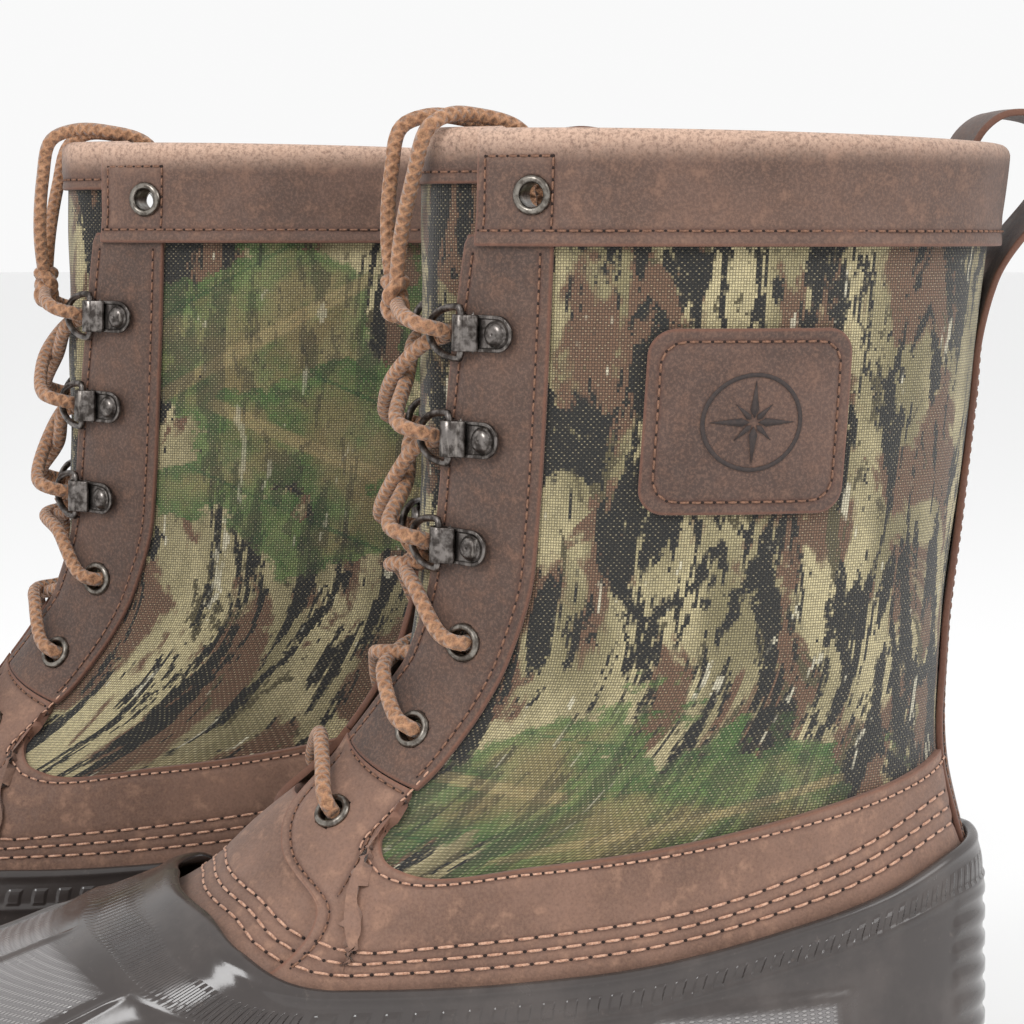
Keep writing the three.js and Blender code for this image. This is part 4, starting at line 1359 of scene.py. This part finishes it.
# %% Clips
def clip_mesh():
    plate_z = leather + 0.3 - hinge_out
    plate = bmesh.new()
    bmesh.ops.create_circle(plate, cap_ends=True, segments=40, radius=4.6)
    for vert in plate.verts:
        if vert.co.y > 0:
            vert.co.x = vert.co.x if abs(vert.co.x) < 4.2 else math.copysign(4.6, vert.co.x)
            vert.co.y = 8.3
    bmesh.ops.translate(plate, verts=plate.verts[:], vec=(0, -9.9, plate_z))
    top = bmesh.ops.extrude_face_region(plate, geom=plate.faces[:])
    raised = [item for item in top["geom"] if isinstance(item, bmesh.types.BMVert)]
    bmesh.ops.translate(plate, verts=raised, vec=(0, 0, 1.15))
    crown = [face for face in plate.faces if len(face.verts) > 10 and face.calc_center_median().z > plate_z + 1.1]
    bmesh.ops.inset_region(plate, faces=crown, thickness=0.85, depth=0.0)
    bmesh.ops.inset_region(plate, faces=crown, thickness=0.3, depth=-0.45)
    bmesh.ops.recalc_face_normals(plate, faces=plate.faces[:])
    rim = [e for e in plate.edges if len(e.link_faces) == 2 and e.calc_face_angle() > 0.9]
    bmesh.ops.bevel(plate, geom=rim, offset=0.22, affect="EDGES", segments=2, profile=0.5, material=-1)
    barrel = spun([(1.45, -4.6), (1.45, 4.6), (2.1, 4.6), (2.3, 4.4), (2.3, -4.4), (2.1, -4.6)], 28, True)
    bmesh.ops.rotate(barrel, verts=barrel.verts[:], cent=(0, 0, 0), matrix=Matrix.Rotation(math.pi / 2, 3, "Y"))
    fold = bmesh.new()
    bmesh.ops.create_cube(fold, size=1)
    bmesh.ops.scale(fold, verts=fold.verts[:], vec=(9.2, 3.4, 0.9))
    bmesh.ops.translate(fold, verts=fold.verts[:], vec=(0, -2.9, 0.35))
    for vert in fold.verts:
        if vert.co.y < -4:
            vert.co.z -= 1.15
        else:
            vert.co.z += 1.0
    bmesh.ops.bevel(fold, geom=fold.edges[:], offset=0.3, affect="EDGES", segments=2, profile=0.5, material=-1)
    dome = spun([
        (0.001, 1.95), (1.1, 1.95), (1.9, 1.8), (2.5, 1.45), (2.95, 0.85), (3.05, 0.4), (3.3, 0.3), (3.4, 0.0),
        (0.001, 0.0),
    ], 32, True)
    bmesh.ops.translate(dome, verts=dome.verts[:], vec=(0, -9.5, plate_z + 0.6))
    return joined([plate, barrel, fold, dome])


# %% Rings
def ring_mesh():
    half = ring_span / 2
    bow = [(half * math.cos(a), ring_reach * math.sin(a) ** 0.8, 0) for a in np.linspace(0.0, math.pi, 40)]
    bar = [(-half + 0.1, 0.5, 0), (-half + 1.3, 0, 0), (0, 0, 0), (half - 1.3, 0, 0), (half - 0.1, 0.5, 0)]
    bm = tube_mesh(np.array(bow[1:-1] + bar), 1.9, 12, closed=True)
    bmesh.ops.rotate(bm, verts=bm.verts[:], cent=(0, 0, 0), matrix=Matrix.Rotation(-ring_tilt, 3, "X"))
    bmesh.ops.recalc_face_normals(bm, faces=bm.faces[:])
    return bm


for boot in boots:
    for word, side in sides.items():
        for number, z in enumerate(ring_heights, 1):
            where = clip_frame(z)
            node = f"{boot}_{word}_clip_{number}"
            bm = set_down(clip_mesh(), boot, side, *where)
            clip = make_piece(f"{node}_plate", bm, gunmetal, f"{boot}_boot", [node])
            node = f"{boot}_{word}_ring_{number}"
            body = f"{boot}_{word}_ring_body_{number}"
            bm = set_down(ring_mesh(), boot, side, *where)
            wire = make_piece(f"{node}_wire", bm, gunmetal, body, [node])
tell(clip)
tell(wire)

# %% [markdown]
# ## Laces
# The lace is swept along the route worked out at the start. Its knot is a trefoil of the same cord pulled
# close, and each end has its hard tip. Both are pieces on the cord.

# %% Laces
def knot_line():
    t = np.linspace(0, 2 * np.pi, 120, endpoint=False)
    out = skin_normal(0.0, 237.0)
    up = unit(skin_point(0.0, 238.0) - skin_point(0.0, 236.0))
    across = np.cross(out, up)
    x, y, z = np.sin(t) + 2 * np.sin(2 * t), np.cos(t) - 2 * np.cos(2 * t), -np.sin(3 * t)
    return knot_place + 1.45 * (x[:, None] * across + 1.2 * y[:, None] * up + 1.3 * z[:, None] * out)


for boot in boots:
    line = world(boot, lace_line)
    body = f"{boot}_boot"
    node = f"{boot}_lace"
    lace = make_piece(f"{node}_cord", tube_mesh(line, lace_diameter / 1000), lace_braid, body, [node])
    tied = tube_mesh(world(boot, knot_line()), 0.0038, closed=True)
    knot = make_piece(f"{boot}_lace_knot", tied, lace_braid, body)
    for word, part in (("a", line[:14]), ("b", line[-14:])):
        tip = tube_mesh(part, 0.0043)
        make_piece(f"{boot}_lace_tip_{word}", tip, tip_plastic, body)
    tell(lace)

# %% [markdown]
# ## Rubber shell
# The bottom of a pac boot is one moulding: a wall with a rolled bead at its rim, a groove over the sole,
# ribs, and a fine diamond net over the toe and in the side panels. It could be carved or given
# displacement. Here a grid follows the wall's section round the foot, and each rib is a soft bump added
# to its depth, so the mould's lines keep their place. The finest relief is left to the finish.

# %% The wall's section and its relief
def bump_at(value, middle, width):
    return np.exp(-(((value - middle) / width) ** 2))


def between(value, low, high, soft):
    return smooth((value - low) / soft + 0.5) * smooth((high - value) / soft + 0.5)


def shell_section(s, v):
    """Height and depth of the wall: up the outside, over the bead and down the inside."""
    rim = rubber_line(np.abs(s))
    bead_angle = np.radians(-40) + np.radians(220) * np.clip((v - 0.62) / 0.16, 0, 1)
    bead_z, bead_depth = rim - 1.7 + 1.7 * np.sin(bead_angle), 3.9 + 1.7 * np.cos(bead_angle)
    rise = np.clip(v / 0.62, 0, 1)
    outer_z = lerp(10.0, rim - 3.2, rise)
    inner = np.clip((v - 0.78) / 0.22, 0, 1)
    z = np.where(v <= 0.62, outer_z, np.where(v < 0.78, bead_z, lerp(rim - 2.2, 16.0, inner)))
    outer_depth = lerp(4.6, 5.1, smooth(rise / 0.12))
    inner_depth = lerp(2.2, 3.2, smooth(inner / 0.15))
    depth = np.where(v <= 0.62, outer_depth, np.where(v < 0.78, bead_depth, inner_depth))
    return z, depth, rim


def shell_relief(s, z, rim):
    """Millimetres of moulded relief, and where the net and the flutes lie."""
    a = np.abs(s)
    body = between(z, 26.5, rim - 12.5, 2.0)
    relief = 0.5 * smooth((23.5 - z) / 1.0) - 0.7 * bump_at(z, 24.6, 0.9) + 0.8 * bump_at(z, rim - 10.8, 0.8)
    for start in (0.31, 0.46):
        relief = relief + 0.9 * body * bump_at(a, start + 0.0011 * (z - 50), 0.005)
    toe_edge = 0.075 + 0.0004 * (z - 40)
    relief = relief + 0.8 * body * bump_at(a, toe_edge, 0.006)
    panel = between(a, 0.62, 0.76, 0.01) * between(z, 31, 60, 2.0)
    relief = relief + 0.7 * panel
    heel = between(a, 0.87, 1.2, 0.01) * body
    relief = relief + 0.7 * heel * smooth(0.5 + 0.9 * np.sin(z * 2 * np.pi / 7))
    net = between(a, toe_edge + 0.012, 0.285 + 0.0011 * (z - 50), 0.006) * between(z, 28, rim - 14, 1.5)
    net = np.maximum(net, between(a, 0.635, 0.745, 0.006) * between(z, 34, 57, 1.5))
    net = np.maximum(net, between(a, -1, toe_edge - 0.012, 0.006) * between(z, 28, rim - 14, 1.5))
    flutes = between(z, rim - 9.6, rim - 5.6, 0.6) * (a < 0.985)
    return relief, net, flutes


# %% Rubber shell
def shell_mesh(boot):
    bm = bmesh.new()
    bmesh.ops.create_grid(bm, x_segments=560, y_segments=110, size=0.5)
    spots = np.array([vert.co[:2] for vert in bm.verts]) + 0.5
    s, v = lerp(-1.0, 1.0, spots[:, 0]), spots[:, 1]
    z, depth, rim = shell_section(s, v)
    relief, net, flutes = shell_relief(s, z, rim)
    outside = v <= 0.62
    flat = lay(s, z, depth + np.where(outside, relief, 0.0))
    flat[v < 1e-5, 2] = 10.0
    flat[v > 1 - 1e-5, 2] = 16.0
    points = world(boot, flat)
    mould = bm.verts.layers.float_vector.new("mould")
    net_layer = bm.verts.layers.float.new("net")
    flute_layer = bm.verts.layers.float.new("flutes")
    run = around(s)
    for i, vert in enumerate(bm.verts):
        vert.co = points[i]
        vert[mould] = (run[i] / 1000, z[i] / 1000, 0)
        vert[net_layer] = net[i] if outside[i] else 0.0
        vert[flute_layer] = flutes[i] if outside[i] else 0.0
    bmesh.ops.remove_doubles(bm, verts=bm.verts[:], dist=1e-5)
    rims = [edge for edge in bm.edges if edge.is_boundary]
    bmesh.ops.holes_fill(bm, edges=rims, sides=0)
    bmesh.ops.recalc_face_normals(bm, faces=bm.faces[:])
    return bm


for boot in boots:
    node = f"{boot}_rubber_shell"
    bm = shell_mesh(boot)
    shell = make_piece(f"{node}_moulding", bm, shell_rubber, f"{boot}_boot", [node])
    tell(shell)

# %% [markdown]
# ## Outsole
# The sole is a slab with bars of tread under it and a raised arch. A boolean could cut the grooves, but
# slicing copies of the outline with two planes each is exact and gives every bar clean flat sides.

# %% Outsole
def outline_slab(low, high, low_depth, high_depth):
    """A closed slab with the foot's outline between two heights, in the boot's own millimetres."""
    bm = bmesh.new()
    bmesh.ops.create_grid(bm, x_segments=240, y_segments=2, size=0.5)
    flat = np.array([vert.co for vert in bm.verts])
    share = flat[:, 1] + 0.5
    spots = lay(2 * flat[:, 0], np.full(len(flat), 12.0), lerp(low_depth, high_depth, share))
    for vert, spot, v in zip(bm.verts, spots, share):
        vert.co = (spot[0], spot[1], lerp(low, high, v))
    bmesh.ops.remove_doubles(bm, verts=bm.verts[:], dist=1e-4)
    bmesh.ops.holes_fill(bm, edges=[edge for edge in bm.edges if edge.is_boundary], sides=0)
    return bm


def slice_between(bm, start, end):
    for place, cut in ((start, {"clear_inner": True}), (end, {"clear_outer": True})):
        everything = bm.verts[:] + bm.edges[:] + bm.faces[:]
        plane = {"plane_co": (place, 0, 0), "plane_no": (1, 0, 0)}
        bmesh.ops.bisect_plane(bm, geom=everything, dist=1e-5, **plane, **cut)
        bmesh.ops.holes_fill(bm, edges=[edge for edge in bm.edges if edge.is_boundary], sides=0)
    return bm


def outsole_mesh(boot):
    arch = (84.0, 118.0)
    grooves = [x for x in np.arange(14.0, 288.0, 15.0) if not arch[0] <= x <= arch[1]]
    cuts = sorted([-30.0, *[x + reach for x in grooves for reach in (-1.75, 1.75)], 340.0])
    bars = list(zip(cuts[::2], cuts[1::2]))
    shapes = [outline_slab(4.0, 9.7, 5.0, 5.5)]
    for start, end in bars:
        if start < arch[0] < end:
            shapes.append(slice_between(outline_slab(0.0, 4.1, 4.0, 5.0), start, arch[0]))
            shapes.append(slice_between(outline_slab(2.5, 4.1, 4.6, 5.0), arch[0] + 0.1, end))
        else:
            shapes.append(slice_between(outline_slab(0.0, 4.1, 4.0, 5.0), start, end))
    whole = joined(shapes)
    spots = np.array([vert.co for vert in whole.verts])
    for vert, point in zip(whole.verts, world(boot, spots)):
        vert.co = point
    bmesh.ops.recalc_face_normals(whole, faces=whole.faces[:])
    return whole


for boot in boots:
    node = f"{boot}_outsole"
    tread = make_piece(
        f"{node}_tread", outsole_mesh(boot), sole_rubber, f"{boot}_boot", [node], seen_smooth=False,
    )
    tell(tread)

# %% [markdown]
# ## Felt liner, insole and shank
# The liner is a thick felt bootee with a slot down its front. It is one sheet laid round the inside and
# thickened inwards, like the leather. The insole and the steel shank have simple shapes that are right
# already, so they keep them and only get a finish.

# %% Felt liner
def liner_place(u, v):
    z = lerp(21.5, 235.0, v)
    heights, places = np.unique(z, return_inverse=True)
    tried = np.linspace(0.0, 0.4, 81)
    edges = [
        np.interp(34.3 * smooth((height - 80) / 12), np.abs(lay(tried, height, -5.4)[:, 1]), tried)
        for height in heights
    ]
    slot = np.array(edges)[places]
    s = lerp(slot, 2 - slot, u)
    return np.where(s > 1, s - 2, s), z, -5.4 - 3 * smooth((24 - z) / 3)


for boot in boots:
    bm = sheet_mesh(boot, on_boot(liner_place), 160, 90, relief=ripple(0.25, 14.0), wrap=True)
    rims = [edge for edge in bm.edges if edge.is_boundary]
    low_rim = [edge for edge in rims if max(vert.co.z for vert in edge.verts) < 0.024]
    bmesh.ops.holes_fill(bm, edges=low_rim, sides=0)
    liner = make_piece(f"{boot}_liner_felt", bm, felt_wool, f"{boot}_boot", [f"{boot}_felt_liner"])
    thicken(liner, 6.0, 0.0012)
    tell(liner)

# %% Insole and shank
for boot in boots:
    for part, finish in (("insole", felt_wool), ("steel_shank", steel)):
        kept = frame["nodes"][f"{boot}_{part}"]
        kept.data.materials.clear()
        kept.data.materials.append(finish)
print("insoles and shanks finished")

# %% [markdown]
# ## Floor, light and size
# A plain pale floor and broad soft lights, as in a studio for catalogue pictures. The tones are shown
# as they are, without a film curve, so the leather keeps its own brown.

# %% Floor
floor_disc = bmesh.new()
bmesh.ops.create_circle(floor_disc, cap_ends=True, segments=96, radius=14)
bmesh.ops.translate(floor_disc, verts=floor_disc.verts[:], vec=(0, 0, -0.0004))
floor_mesh = bpy.data.meshes.new("floor")
floor_disc.to_mesh(floor_mesh)
floor_disc.free()
floor = bpy.data.objects.new("floor", floor_mesh)
bpy.context.scene.collection.objects.link(floor)
paper = Finish("pale_floor", 0.9)
paper.shader.inputs["Base Color"].default_value = (0.9, 0.9, 0.9, 1)
floor_mesh.materials.append(paper.material)

# %% Lights
bpy.context.scene.view_settings.view_transform = "Standard"
sky = bpy.data.worlds.new("studio")
bpy.context.scene.world = sky
sky.use_nodes = True
sky.node_tree.nodes["Background"].inputs["Color"].default_value = (1, 1, 1, 1)
sky.node_tree.nodes["Background"].inputs["Strength"].default_value = 0.95


def soft_light(name, place, watts, width):
    lamp = bpy.data.lights.new(name, "AREA")
    lamp.energy = watts
    lamp.size = width
    holder = bpy.data.objects.new(name, lamp)
    bpy.context.scene.collection.objects.link(holder)
    holder.location = place
    holder.rotation_euler = (Vector((0, 0, 0.15)) - Vector(place)).to_track_quat("-Z", "Y").to_euler()


soft_light("key", (1.3, -0.9, 1.3), 16, 0.7)
soft_light("fill", (0.7, 1.3, 1.0), 8, 0.9)
print("floor and lights made")
